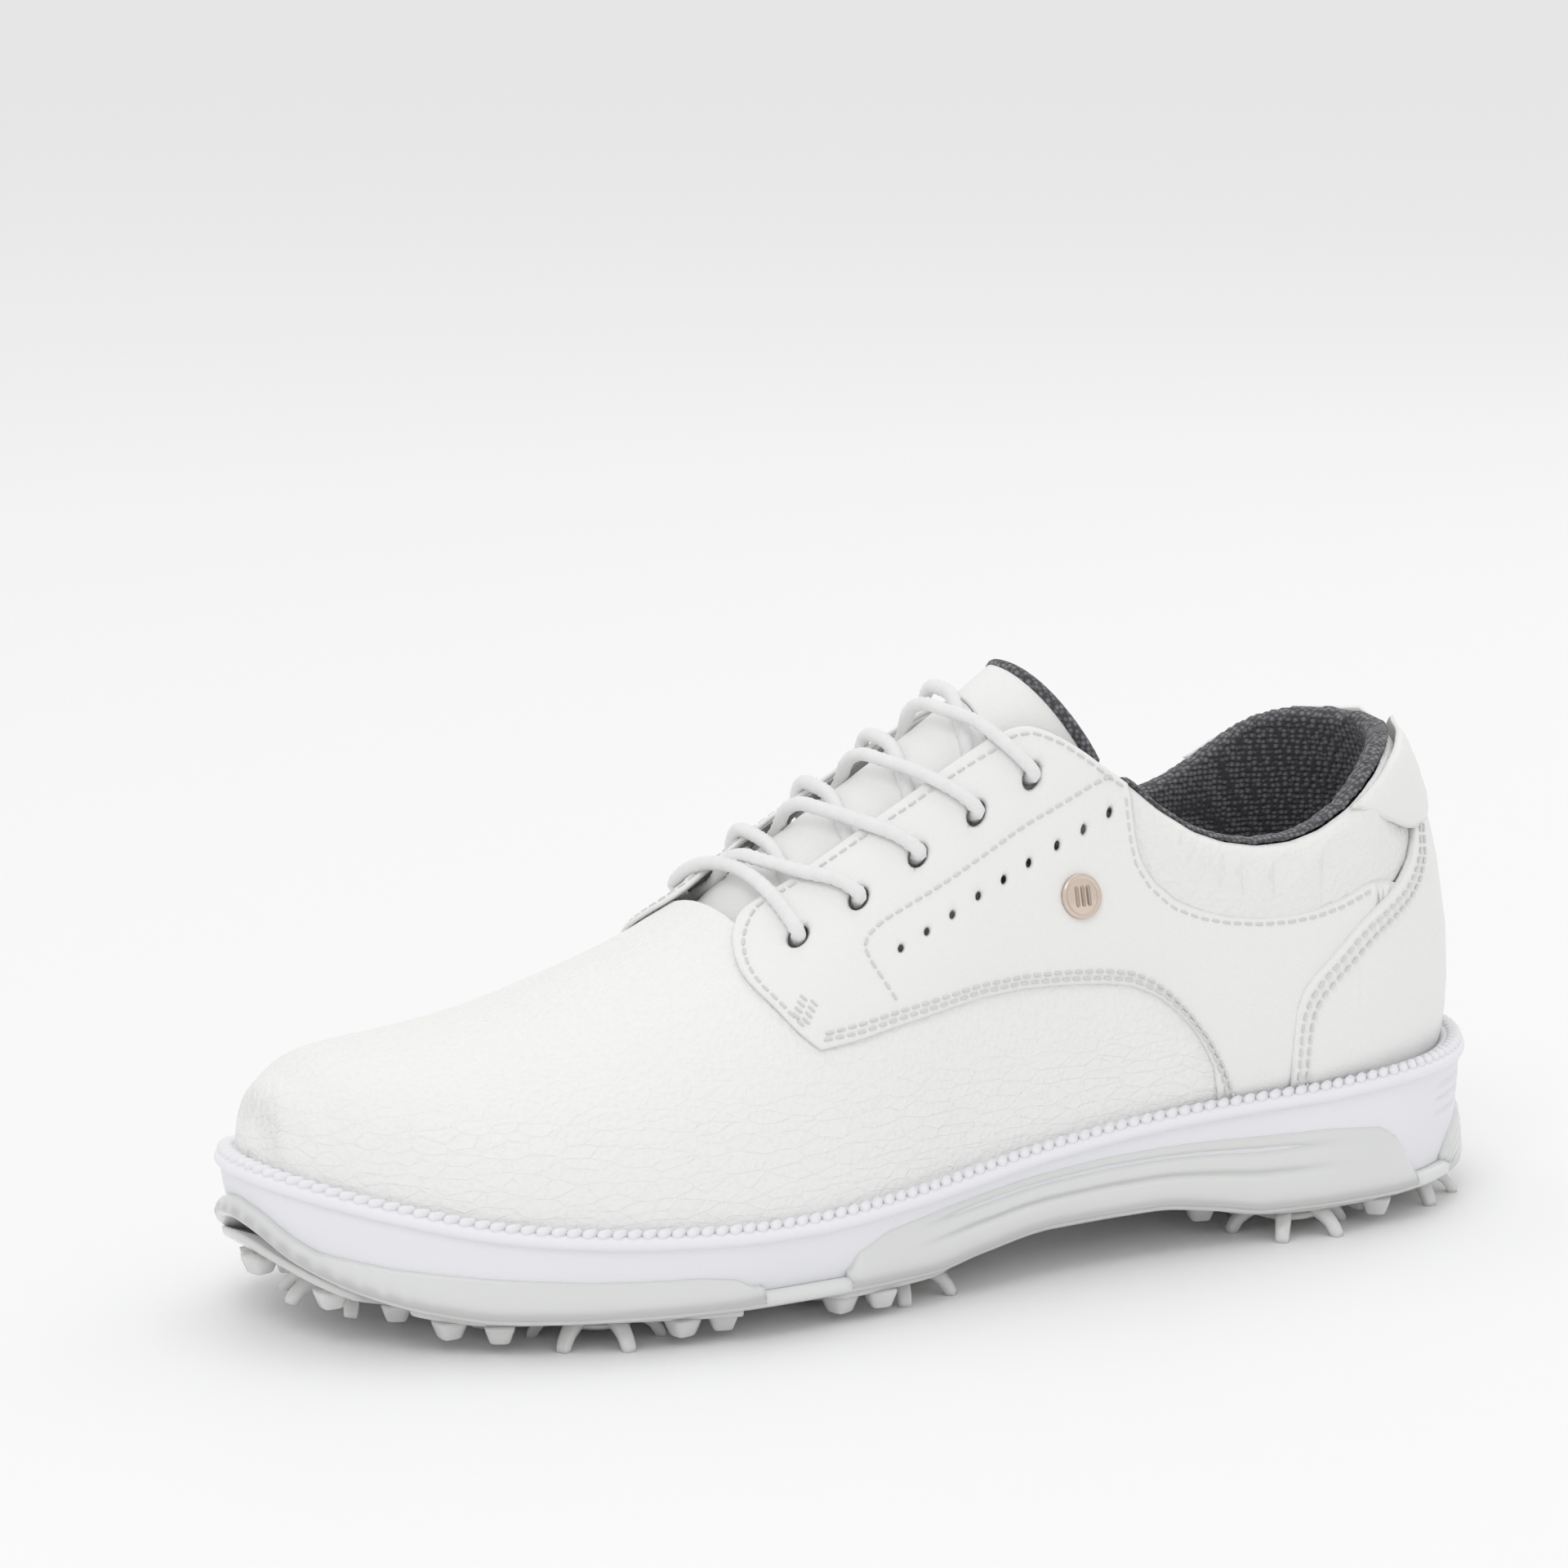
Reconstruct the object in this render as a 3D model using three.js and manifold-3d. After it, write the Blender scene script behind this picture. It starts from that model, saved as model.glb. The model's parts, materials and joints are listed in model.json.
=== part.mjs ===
// Golf shoe, left foot. Millimetres, +Z up, toe toward -X, inner (medial) side toward +Y.
// The origin is the centre of the footprint at ground level, where the spike tips rest.
import * as THREE from 'three';
import { mergeVertices } from 'three/addons/utils/BufferGeometryUtils.js';
import Module from 'manifold-3d';
const wasm = await Module(); wasm.setup();

// ---------- driving dimensions ----------
const SHOE_LENGTH = 300;          // sole, heel to toe
const Y_SHIFT = -2.95;             // brings the footprint's middle onto y = 0
const GAP = 0.3;                  // clearance between neighbouring pieces
const LEATHER = 1.2;              // upper leather thickness
const PLATE = 3.2;                // outsole plate thickness
const POD = 1.3;                  // height of the tread pods under the plate
const SPIKE_HUB_R = 8.2, SPIKE_REACH = 14.3, SPIKE_LEGS = 6;
const STUD_R = 3.4, RECEPTACLE_R = 5.8, RECEPTACLE_BORE = 3.9;
const LACE_R = 1.9;
const EYELET_R = 2.9;
const BADGE_R = 4.8;
const X0 = SHOE_LENGTH / 2 + 0.25;       // x = X0 - m, with m measured from the heel's back
// outline of the upper at the welt, against distance from the heel (equal steps of u)
const MU = [7.6,8.8,12.4,18.2,26.2,36.2,48.2,62.0,77.5,94.6,112.6,131.3,150.3,169.3,187.9,206.0,223.0,238.9,253.2,265.8,276.3,284.8,290.9,294.6,295.8];
const YL = [2.5,-5.8,-14.2,-22.4,-29.8,-35.3,-38.4,-39.2,-37.8,-36.5,-36.0,-37.0,-39.8,-43.6,-46.3,-46.8,-45.0,-41.0,-35.3,-28.3,-20.6,-12.6,-4.4,3.8,12.0];
const YM = [2.5,10.4,18.0,24.8,30.2,33.9,35.5,34.6,32.5,31.4,32.5,35.9,41.3,46.3,50.0,52.1,52.7,51.9,50.0,46.9,42.4,36.0,28.3,20.0,12.0];
// outline of the sole, same scheme
const SMU = [0.2,1.5,5.3,11.6,20.3,31.2,44.1,58.9,75.2,92.8,111.4,130.7,150.3,169.9,189.1,207.7,225.3,241.6,256.4,269.3,280.2,288.9,295.2,299.0,300.3];
const SYL = [2.5,-7.2,-17.0,-26.5,-34.8,-41.0,-44.3,-44.9,-43.2,-41.6,-41.0,-42.0,-45.0,-48.6,-50.9,-51.3,-49.2,-44.9,-38.7,-31.3,-23.2,-14.7,-5.9,3.1,12.0];
const SYM = [2.5,11.8,20.8,28.8,35.1,39.4,41.4,40.2,37.6,36.5,37.4,41.1,46.4,51.1,54.7,56.7,57.2,56.2,54.0,50.5,45.3,38.2,29.8,20.8,12.0];
// heights along the shoe
const ZW_M = [0,30,64,100,134,170,200,232,260,280,300], ZW_Z = [33.5,34,32.5,30.5,27.5,24,22.5,23.5,26,30,35]; // top of midsole
const ZO_M = [0,8,16,75,88,104,130,150,165,245,260,274,285,295,301], ZO_Z = [11,8,7,7,9,11,11,9,7,7,7.2,9.2,12.5,18,25]; // under side of plate
const R_M = [40,55,70,80,90,106,124,150,170,182,200,221,240,258,272,281,287,291.5,294.5,295.8];
const R_Z = [250,222,190,173,158,141,127.5,109.5,97,89,77.8,69.6,63.6,60.2,58.6,56.8,53.5,51,45.5,38];          // ridge of the last
const A_M = [0,90,130,182,240,290], A_V = [3.2,3.0,2.4,2.2,2.3,2.6];   // section roundness
const B_V = [2.0,2.0,1.9,1.9,2.0,2.2];
const COLLAR = [[22,105.5],[28,104.8],[35,102.5],[42,98.5],[50,93.5],[58,90],[66,88.2],[74,88],[82,89.5],[89,92.3],[96,97.2],[102,103.2]];

// ---------- helpers ----------
function pchip(xs, ys, x) {
  const n = xs.length; x = Math.min(Math.max(x, xs[0]), xs[n - 1]);
  const h = [], d = [];
  for (let i = 0; i < n - 1; i++) { h.push(xs[i + 1] - xs[i]); d.push((ys[i + 1] - ys[i]) / h[i]); }
  const slope = i => {
    if (i === 0) return d[0]; if (i === n - 1) return d[n - 2];
    if (d[i - 1] * d[i] <= 0) return 0;
    const w1 = 2 * h[i] + h[i - 1], w2 = h[i] + 2 * h[i - 1];
    return (w1 + w2) / (w1 / d[i - 1] + w2 / d[i]);
  };
  let i = 0; while (i < n - 2 && x >= xs[i + 1]) i++;
  const s = (x - xs[i]) / h[i], s2 = s * s, s3 = s2 * s;
  return (2 * s3 - 3 * s2 + 1) * ys[i] + (s3 - 2 * s2 + s) * h[i] * slope(i) + (-2 * s3 + 3 * s2) * ys[i + 1] + (s3 - s2) * h[i] * slope(i + 1);
}
const UU = MU.map((_, i) => i / (MU.length - 1));
const lerp = (xs, ys, x) => { if (x <= xs[0]) return ys[0]; for (let i = 1; i < xs.length; i++) if (x <= xs[i]) return ys[i - 1] + (ys[i] - ys[i - 1]) * (x - xs[i - 1]) / (xs[i] - xs[i - 1]); return ys[ys.length - 1]; };
const smooth = (a, b, x) => { const t = Math.min(Math.max((x - a) / (b - a), 0), 1); return t * t * (3 - 2 * t); };
const zw = m => pchip(ZW_M, ZW_Z, m);
const zo = m => pchip(ZO_M, ZO_Z, m);
// point of the last's surface: u heel..toe, p 0 lateral foot .. 0.5 ridge .. 1 medial foot
function last(u, p) {
  const m = pchip(UU, MU, u), yl = pchip(UU, YL, u), ym = pchip(UU, YM, u);
  const z0 = zw(m), R = pchip(R_M, R_Z, m), a = pchip(A_M, A_V, m), b = pchip(A_M, B_V, m);
  const yr = (yl + ym) / 2 + pchip([0, 150, 182, 220, 296], [0, 0, -1, -2, 0], m);
  const c = Math.cos(Math.PI * p), s = Math.abs(Math.sin(Math.PI * p));
  const k = Math.pow(Math.abs(c), 2 / b), z = z0 + (R - z0) * Math.pow(s, 2 / a);
  const side = c >= 0 ? yl - yr : ym - yr;
  const nar = 1 - 0.2 * smooth(45, 115, z) * (1 - smooth(95, 150, m));
  const lean = lerp([34, 45, 60, 75, 90, 100, 112, 130], [0, -1.2, -1.0, 1.0, 4.5, 8.5, 15, 22], z) * (1 - smooth(5, 70, m));
  return [m + lean, yr + side * k * nar, z];
}
function lastOff(u, p, d) {
  const q = last(u, p); if (!d) return q;
  const e = 1e-3, uc = Math.min(Math.max(u, 0.006), 0.994), pc = Math.min(Math.max(p, 0.006), 0.994);
  const a = last(uc + e, pc), b = last(uc - e, pc), g = last(uc, pc + e), f = last(uc, pc - e);
  const du = [a[0] - b[0], a[1] - b[1], a[2] - b[2]], dp = [g[0] - f[0], g[1] - f[1], g[2] - f[2]];
  let n = [du[1] * dp[2] - du[2] * dp[1], du[2] * dp[0] - du[0] * dp[2], du[0] * dp[1] - du[1] * dp[0]];
  if (p < 1e-9 || p > 1 - 1e-9) n[2] = 0;
  if (u < 1e-9) n = [-1, 0, 0]; if (u > 1 - 1e-9) n = [1, 0, 0];
  const l = Math.hypot(...n); return [q[0] + n[0] / l * d, q[1] + n[1] / l * d, q[2] + n[2] / l * d];
}
const uOf = m => { let lo = 0, hi = 1; for (let i = 0; i < 40; i++) { const c = (lo + hi) / 2; if (pchip(UU, MU, c) < m) lo = c; else hi = c; } return (lo + hi) / 2; };
const onLast = (m, p, d) => { const q = lastOff(uOf(m), p, d); return new THREE.Vector3(X0 - q[0], q[1] + Y_SHIFT, q[2]); };
const world = q => new THREE.Vector3(X0 - q[0], q[1] + Y_SHIFT, q[2]);

function solidOf(geo) {
  const g = geo.index ? geo.toNonIndexed() : geo.clone();
  for (const k of Object.keys(g.attributes)) if (k !== 'position') g.deleteAttribute(k);
  const w = mergeVertices(g, 1e-4), ix = w.index.array, keep = [];
  for (let i = 0; i < ix.length; i += 3) if (ix[i] !== ix[i + 1] && ix[i + 1] !== ix[i + 2] && ix[i] !== ix[i + 2]) keep.push(ix[i], ix[i + 1], ix[i + 2]);
  return new wasm.Manifold(new wasm.Mesh({ numProp: 3, vertProperties: new Float32Array(w.attributes.position.array), triVerts: new Uint32Array(keep) }));
}
function geoOf(man) {
  const m = man.getMesh(), g = new THREE.BufferGeometry(), n = m.numProp, v = new Float32Array(m.numVert * 3);
  for (let i = 0; i < m.numVert; i++) for (let k = 0; k < 3; k++) v[3 * i + k] = m.vertProperties[n * i + k];
  g.setAttribute('position', new THREE.BufferAttribute(v, 3)); g.setIndex(Array.from(m.triVerts)); g.computeVertexNormals(); return g;
}
function rawGeo(pts, tris) {
  const g = new THREE.BufferGeometry();
  g.setAttribute('position', new THREE.Float32BufferAttribute(pts.flatMap(p => [p.x, p.y, p.z]), 3)); g.setIndex(tris); return g;
}
function outward(geo) { // flips the faces when the enclosed volume comes out negative
  const p = geo.attributes.position, ix = geo.index; let v = 0;
  for (let i = 0; i < ix.count; i += 3) {
    const a = new THREE.Vector3().fromBufferAttribute(p, ix.getX(i)), b = new THREE.Vector3().fromBufferAttribute(p, ix.getX(i + 1)), c = new THREE.Vector3().fromBufferAttribute(p, ix.getX(i + 2));
    v += a.dot(b.cross(c));
  }
  if (v < 0) for (let i = 0; i < ix.count; i += 3) { const t = ix.getX(i); ix.setX(i, ix.getX(i + 1)); ix.setX(i + 1, t); }
  return geo;
}
// closed dome bounded by the last offset by d, with its foot dropped by `drop`
const NU = 22, NP = 16;
function dome(d, drop = 0) {
  const pts = [], tris = [], rows = drop ? NP + 3 : NP + 1;
  for (let i = 0; i <= NU; i++) for (let j = 0; j < rows; j++) {
    const jj = drop ? Math.min(Math.max(j - 1, 0), NP) : j;
    const q = lastOff(i / NU, jj / NP, d); const v = world(q);
    if (drop && (j === 0 || j === rows - 1)) v.z -= drop;
    pts.push(v);
  }
  const id = (i, j) => i * rows + j;
  for (let i = 0; i < NU; i++) {
    for (let j = 0; j < rows - 1; j++) tris.push(id(i, j), id(i + 1, j), id(i + 1, j + 1), id(i, j), id(i + 1, j + 1), id(i, j + 1));
    tris.push(id(i, 0), id(i + 1, rows - 1), id(i + 1, 0), id(i, 0), id(i, rows - 1), id(i + 1, rows - 1));
  }
  return solidOf(outward(mergeVertices(rawGeo(pts, tris), 1e-4)));
}
const shell = (d0, d1) => dome(d1).subtract(dome(d0, 6));
// sole slab between heights zb(m) and zt(m), outline pulled in by `inset`
const NS = 22;
function solePlan(inset, n = NS) {
  const su = SMU.map((_, i) => i / (SMU.length - 1)), out = [[], []];
  const at = (t) => { const s = t < 0 ? -1 : 1; const u = Math.min(Math.abs(t), 1); return [pchip(su, SMU, u), s < 0 ? pchip(su, SYL, u) : pchip(su, SYM, u)]; };
  for (let side = 0; side < 2; side++) for (let i = 0; i <= n; i++) {
    const u = i / n, tab = side ? SYM : SYL;
    const m = pchip(su, SMU, u), y = pchip(su, tab, u);
    let nx, ny;
    if (i === 0) { nx = 1; ny = 0; } else if (i === n) { nx = -1; ny = 0; } else {
      const e = 0.004, dm = pchip(su, SMU, Math.min(u + e, 1)) - pchip(su, SMU, Math.max(u - e, 0)), dy = pchip(su, tab, Math.min(u + e, 1)) - pchip(su, tab, Math.max(u - e, 0));
      const l = Math.hypot(dm, dy); nx = side ? dy / l : -dy / l; ny = side ? -dm / l : dm / l;
    }
    out[side].push([m + nx * inset, y + ny * inset]);
  }
  return out;
}
function slab(inset, zb, zt, n = NS) {
  const pl = solePlan(inset, n), pts = [], tris = [];
  for (let i = 0; i <= n; i++) for (const s of [0, 1]) { const [m, y] = pl[s][i]; const a = zb(m), b = zt(m); pts.push(world([m, y, a]), world([m, y, b])); }
  const id = (i, s, k) => i * 4 + s * 2 + k;
  for (let i = 0; i < n; i++) {
    const q = (a, b, c, d) => tris.push(a, b, c, a, c, d);
    q(id(i, 0, 1), id(i + 1, 0, 1), id(i + 1, 1, 1), id(i, 1, 1));
    q(id(i, 0, 0), id(i, 1, 0), id(i + 1, 1, 0), id(i + 1, 0, 0));
    q(id(i, 0, 0), id(i + 1, 0, 0), id(i + 1, 0, 1), id(i, 0, 1));
    q(id(i, 1, 1), id(i + 1, 1, 1), id(i + 1, 1, 0), id(i, 1, 0));
  }
  return solidOf(outward(mergeVertices(rawGeo(pts, tris), 1e-4)));
}
// board inside the upper: outline from the last, offset inward
function board(inset, zb, zt, m0 = 0, m1 = 400, n = 24) {
  const pts = [], tris = []; const L = [];
  for (let i = 0; i <= n; i++) { const u = 0.004 + 0.992 * i / n; const a = lastOff(u, 0.02, -inset), b = lastOff(u, 0.98, -inset); L.push([a, b]); }
  const K = L.filter(([a, b]) => b[1] - a[1] > 2);
  K.forEach(([a, b]) => { for (const q of [a, b]) { pts.push(world([q[0], q[1], zb(q[0])]), world([q[0], q[1], zt(q[0])])); } });
  const id = (i, s, k) => i * 4 + s * 2 + k, N = K.length - 1, q = (a, b, c, d) => tris.push(a, b, c, a, c, d);
  for (let i = 0; i < N; i++) {
    q(id(i, 0, 1), id(i + 1, 0, 1), id(i + 1, 1, 1), id(i, 1, 1));
    q(id(i, 0, 0), id(i, 1, 0), id(i + 1, 1, 0), id(i + 1, 0, 0));
    q(id(i, 0, 0), id(i + 1, 0, 0), id(i + 1, 0, 1), id(i, 0, 1));
    q(id(i, 1, 1), id(i + 1, 1, 1), id(i + 1, 1, 0), id(i, 1, 0));
  }
  q(id(0, 0, 0), id(0, 0, 1), id(0, 1, 1), id(0, 1, 0)); q(id(N, 0, 0), id(N, 1, 0), id(N, 1, 1), id(N, 0, 1));
  return solidOf(outward(rawGeo(pts, tris)));
}
// prism through the shoe from a side-view outline of [m, z] corners, between y0 and y1
function sideCut(poly, y0 = -90, y1 = 90) {
  const sh = new THREE.Shape(poly.map(([m, z]) => new THREE.Vector2(X0 - m, z)));
  const g = new THREE.ExtrudeGeometry(sh, { depth: y1 - y0, bevelEnabled: false, steps: 1 });
  g.rotateX(Math.PI / 2); g.translate(0, y1 + Y_SHIFT, 0); return solidOf(g);
}
// prism from a plan outline of [m, y] corners, between z0 and z1
function planCut(poly, z0 = -10, z1 = 260) {
  const sh = new THREE.Shape(poly.map(([m, y]) => new THREE.Vector2(X0 - m, y + Y_SHIFT)));
  const g = new THREE.ExtrudeGeometry(sh, { depth: z1 - z0, bevelEnabled: false, steps: 1 });
  g.translate(0, 0, z0); return solidOf(g);
}
function cyl(r0, r1, h, seg, pos, dir) { // along dir from pos - h/2 to pos + h/2
  const g = new THREE.CylinderGeometry(r1, r0, h, seg);
  g.applyQuaternion(new THREE.Quaternion().setFromUnitVectors(new THREE.Vector3(0, 1, 0), dir.clone().normalize()));
  g.translate(pos.x, pos.y, pos.z); return solidOf(g);
}
const UP = new THREE.Vector3(0, 0, 1);

const group = new THREE.Group();
const mat = (color, roughness, metalness = 0, opacity = 1) => new THREE.MeshStandardMaterial({ color, roughness, metalness, opacity, transparent: opacity < 1 });
const M = {
  leather: mat(0xeeeeec, 0.5), tumbled: mat(0xebebe9, 0.55), mesh: mat(0x46474b, 0.95), board: mat(0xd8d2c2, 0.9), foam: mat(0xe9e9ee, 0.7),
  eva: mat(0xececf2, 0.6), tpu: mat(0xdcdcd6, 0.3, 0, 0.75), clear: mat(0xd9d9d2, 0.15, 0, 0.6), metal: mat(0xc9b8ab, 0.3, 1), lace: mat(0xf0f0f0, 0.9), stiff: mat(0xcfc8b8, 0.8), nylon: mat(0x8d9096, 0.5), hub: mat(0xa9aaae, 0.4),
};
function add(name, solid, material) {
  const parts = solid.decompose ? solid.decompose() : [solid];
  let best = solid;
  if (parts.length > 1) best = parts.sort((a, b) => b.volume() - a.volume())[0]; // shaving slivers are dropped
  const mesh = new THREE.Mesh(geoOf(best), material); mesh.name = name; group.add(mesh); return best;
}

// ---------- upper ----------
const collarTop = (off = 0) => COLLAR.map(([m, z]) => [m, z + off]);
const base = shell(-LEATHER, 0);             // vamp, collar panels, heel stiffener
const over = shell(GAP, GAP + LEATHER);      // quarters, counter cover, heel tab
const lining = shell(-3.2, -2.2);
const LOW = 10;

const throat = planCut([[181.5, -15], [181.5, 15], [60, 15], [60, -15]]);
const vampSide = [[320, LOW], [320, 120], [190.6, 120], [190.6, 66], [182, 62], [168, 66], [146, 69.5], [124, 69], [108, 67.5], [98, 61], [90, 53], [83, 44], [79, 34], [78.5, LOW]];
add('vamp', base.intersect(sideCut(vampSide)), M.tumbled);

const stiffTop = [[-20, 79], [20, 79], [30, 77.5], [42, 71.5], [54, 67], [76, 64.5], [78.1, 50], [78.1, LOW], [-20, LOW]];
add('heel_stiffener', base.intersect(sideCut(stiffTop)), M.stiff);

// collar panels: padded leather below the top line
const colLow = [[103.9, 96], [103.9, 86], [101, 79], [95.5, 74], [89, 71], [80, 69], [68, 68], [56, 70], [46, 73], [38, 77], [31, 81.5], [22, 84.5], [-20, 86]];
const colPoly = [[-20, 106], ...collarTop(), [103.9, 105.2], ...colLow];
const colSolid = base.intersect(sideCut(colPoly));
add('collar_panel_lateral', colSolid.intersect(sideCut([[8, 0], [8, 200], [120, 200], [120, 0]], -90, 2.35)).intersect(planCut([[-20, -90], [-20, 2.35], [130, 2.35], [130, -90]])), M.tumbled);
add('collar_panel_medial', colSolid.intersect(planCut([[-20, 2.65], [-20, 90], [130, 90], [130, 2.65]])), M.tumbled);

// quarters with their lacing facings
const qLow = [[187.9, 57.3], [178.7, 58.4], [168.2, 60.2], [157.2, 61.7], [146.5, 63.2], [135.5, 63.6], [124.9, 63.1], [114.4, 62.1], [108.2, 61.1], [104.2, 59.5], [100.3, 57.4], [96.4, 54.1], [92.1, 49.6], [89.4, 45.3], [86.9, 40.1], [85.5, 35.3], [84.2, LOW]];
const qRear = [[69.3, LOW], [69.1, 37.3], [68.6, 41.5], [68.4, 47.6], [67.8, 51.3], [66.9, 54.7], [65.0, 57.2], [62.9, 59.6], [59.3, 62.0], [54.9, 65.5], [50.1, 69.1], [45.1, 72.0], [40.5, 74.0], [37.2, 76.3]];
const qTopRear = [[46.4, 76.9], [53.7, 74.6], [60.6, 73.3], [67.1, 72.7], [74.9, 72.7], [82.8, 73.8], [88.7, 75.5], [94.9, 78.2], [99.7, 82.6], [102.2, 86.8], [103.0, 91.5], [103.0, 96.8], [102.9, 103.4], [108.6, 107.8], [112, 110.7], [116.7, 114.2], [119.6, 115.7], [122.6, 116.9], [126, 116.7], [130.9, 114.3], [200, 160]];
const qFront = [[200, 79], [196.3, 75.5], [197.8, 72.2], [197.1, 69.2], [195.2, 66.6], [193.4, 63.5], [191.2, 60.3]];
const quarterSide = [...qLow, ...qRear, ...qTopRear, ...qFront];
const throatGap = planCut([[187.2, -11.3], [191.2, -10.9], [203, -9], [203, 14], [191.2, 13], [187.2, 13.3], [179, 14.6], [165, 15], [148, 14.5], [131, 15], [126, 15.8], [120, 18], [112, 22.5], [100, 26], [100, -26], [112, -23], [120, -18.6], [126, -15.8], [131, -15], [148, -14.6], [165, -14.6], [179, -13.6]]);
let quarters = over.intersect(sideCut(quarterSide)).subtract(throatGap);
const EYE = [[184.2, 0.3165], [169.7, 0.3028], [154.5, 0.2968], [139.6, 0.2882], [125.3, 0.2738]];
const dirAt = (m, p) => onLast(m, p, 3).sub(onLast(m, p, 0)).normalize();
for (const [m, p] of EYE) for (const pp of [p, 1 - p]) quarters = quarters.subtract(cyl(EYELET_R, EYELET_R, 14, 12, onLast(m, pp, 0), dirAt(m, pp)));
add('quarter_lateral', quarters.intersect(planCut([[0, -90], [0, 1], [300, 1], [300, -90]])), M.leather);
add('quarter_medial', quarters.intersect(planCut([[0, 1], [0, 90], [300, 90], [300, 1]])), M.leather);

// heel counter cover and heel tab
const counterSide = [[-20, LOW], [68.9, LOW], [68.7, 37.3], [68.1, 41.5], [68.0, 47.6], [67.4, 51.3], [66.5, 54.5], [64.6, 56.8], [62.5, 59.2], [59.0, 61.5], [54.6, 65.0], [49.8, 68.6], [44.8, 71.5], [40.2, 73.5], [35.4, 76.2], [30.5, 80.0], [28.4, 83.2], [27.1, 87.4], [-20, 87.4]];
add('heel_counter_cover', over.intersect(sideCut(counterSide)), M.leather);
const tabSide = [[-20, 88.0], [28, 88.0], [32.7, 88.2], [36.6, 89.5], [42.5, 91.5], [47.7, 93.5], [50, 93.5], ...collarTop().slice(0, 4).reverse(), [-20, 106]];
add('heel_tab', over.intersect(sideCut(tabSide)), M.leather);

// linings and reinforcements inside
add('toe_puff', shell(-1.9, -1.5).intersect(sideCut([[256, LOW], [256, 120], [320, 120], [320, LOW]])), M.stiff);
const liningSide = [[320, LOW], [320, 120], [190.9, 120], [190.9, 68], [182, 66], [150, 80], [124, 86], [119, 86], [119, LOW]];
add('vamp_lining', lining.intersect(sideCut(liningSide)), M.mesh);
const colLinPoly = [[-20, 105.5], ...collarTop(-0.3), [103, 103], [103, LOW], [-20, LOW]];
const linAbove = slab(-30, m => zw(Math.max(m, 0)) + 6, () => 300);
add('collar_lining', shell(-6, -1.5).intersect(sideCut(colLinPoly)).intersect(linAbove), M.mesh);

// tongue: fixed base under the facings and the free flap above the lacing
const tongueSheet = shell(-7.8, -4.8);
const tonguePlan = planCut([[190.2, -21], [181.2, -24], [160, -27], [134, -26.5], [120, -22.5], [106.5, -22.5], [104.4, -20], [104.4, 20], [106.5, 22.5], [120, 22.5], [134, 26.5], [160, 27], [181.2, 24], [190.2, 21]]);
const flapLine = [[134.5, 160], [134.5, 117.2], [126, 118.6], [122.6, 118.6], [116, 115.6], [110, 110.6], [105.5, 107.2], [90, 107.2]];
const tongueAll = tongueSheet.intersect(tonguePlan);
const flapPrism = sideCut([...flapLine, [90, 130.5], [100, 131], [128, 133]]);
add('tongue_top', tongueAll.intersect(flapPrism).intersect(sideCut([[80, 0], [80, 129.6], [150, 129.6], [150, 0]])), M.leather);
const basePrism = sideCut([[200, 60], [200, 170], [135.2, 170], [135.2, 116.7], [126, 118.0], [122.8, 118.0], [116.3, 115.0], [110.3, 110.0], [105.7, 106.5], [90, 106.5], [90, 60]]);
add('tongue_base', tongueAll.intersect(basePrism).intersect(sideCut([[90, 105], [90, 200], [210, 200], [210, 78], [136, 78], [128, 92], [121.5, 105]])), M.leather);

// badge on the outer side
const bd = dirAt(118.9, 0.1405);
add('side_badge', cyl(BADGE_R, BADGE_R - 0.3, 0.9, 24, onLast(118.9, 0.1405, GAP + LEATHER + 0.75), bd), M.metal);

// ---------- lace ----------
const LI = -LACE_R - 0.02 + 0.0, LO = GAP + LEATHER + LACE_R + 0.45;   // centre depth under the facing, and over it
const pl = [];
const P = (m, p, d) => pl.push(onLast(m, p, d));
const tail = (s) => [[112.6, 0.15, -3.75], [112.5, 0.175, -3.5], [112.6, 0.2, -2.6], [114, 0.225, -2.1], [117.5, 0.247, -2.3], [121.5, 0.262, -2.4]].map(([m, p, d]) => [m, s > 0 ? 1 - p : p, d]);
function eyeIn(i, s, dir) { // points from outside to inside of an eyelet
  const [m, p0] = EYE[i], p = s > 0 ? 1 - p0 : p0; const a = [[m, p, LO - 0.6], [m, p, 1.0], [m, p, -1.5]]; return dir > 0 ? a : a.reverse();
}
function strand(i, s, top) { // from inside eyelet i on side s, under the facing, across, to the eyelet i+1 on the other side
  const [m0, p0] = EYE[i], [m1, p1] = EYE[i + 1]; const dm = m0 - m1;
  const q = [];
  q.push([m0 - 0.16 * dm, 0.5 + s * (0.5 - p0 - 0.034), -2.5]);
  q.push([m0 - 0.28 * dm, 0.5 + s * 0.108, -2.3]);
  q.push([m0 - 0.42 * dm, 0.5 + s * 0.045, top ? 3.0 : 1.2]);
  q.push([m0 - 0.52 * dm, 0.5, top ? 6.4 : 2.3]);
  q.push([m0 - 0.62 * dm, 0.5 - s * 0.05, top ? 6.0 : 3.2]);
  q.push([m0 - 0.76 * dm, 0.5 - s * 0.115, LO + 0.35]);
  q.push([m0 - 0.92 * dm, 0.5 - s * (0.5 - p1 - 0.03), LO + 0.1]);
  return q;
}
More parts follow.
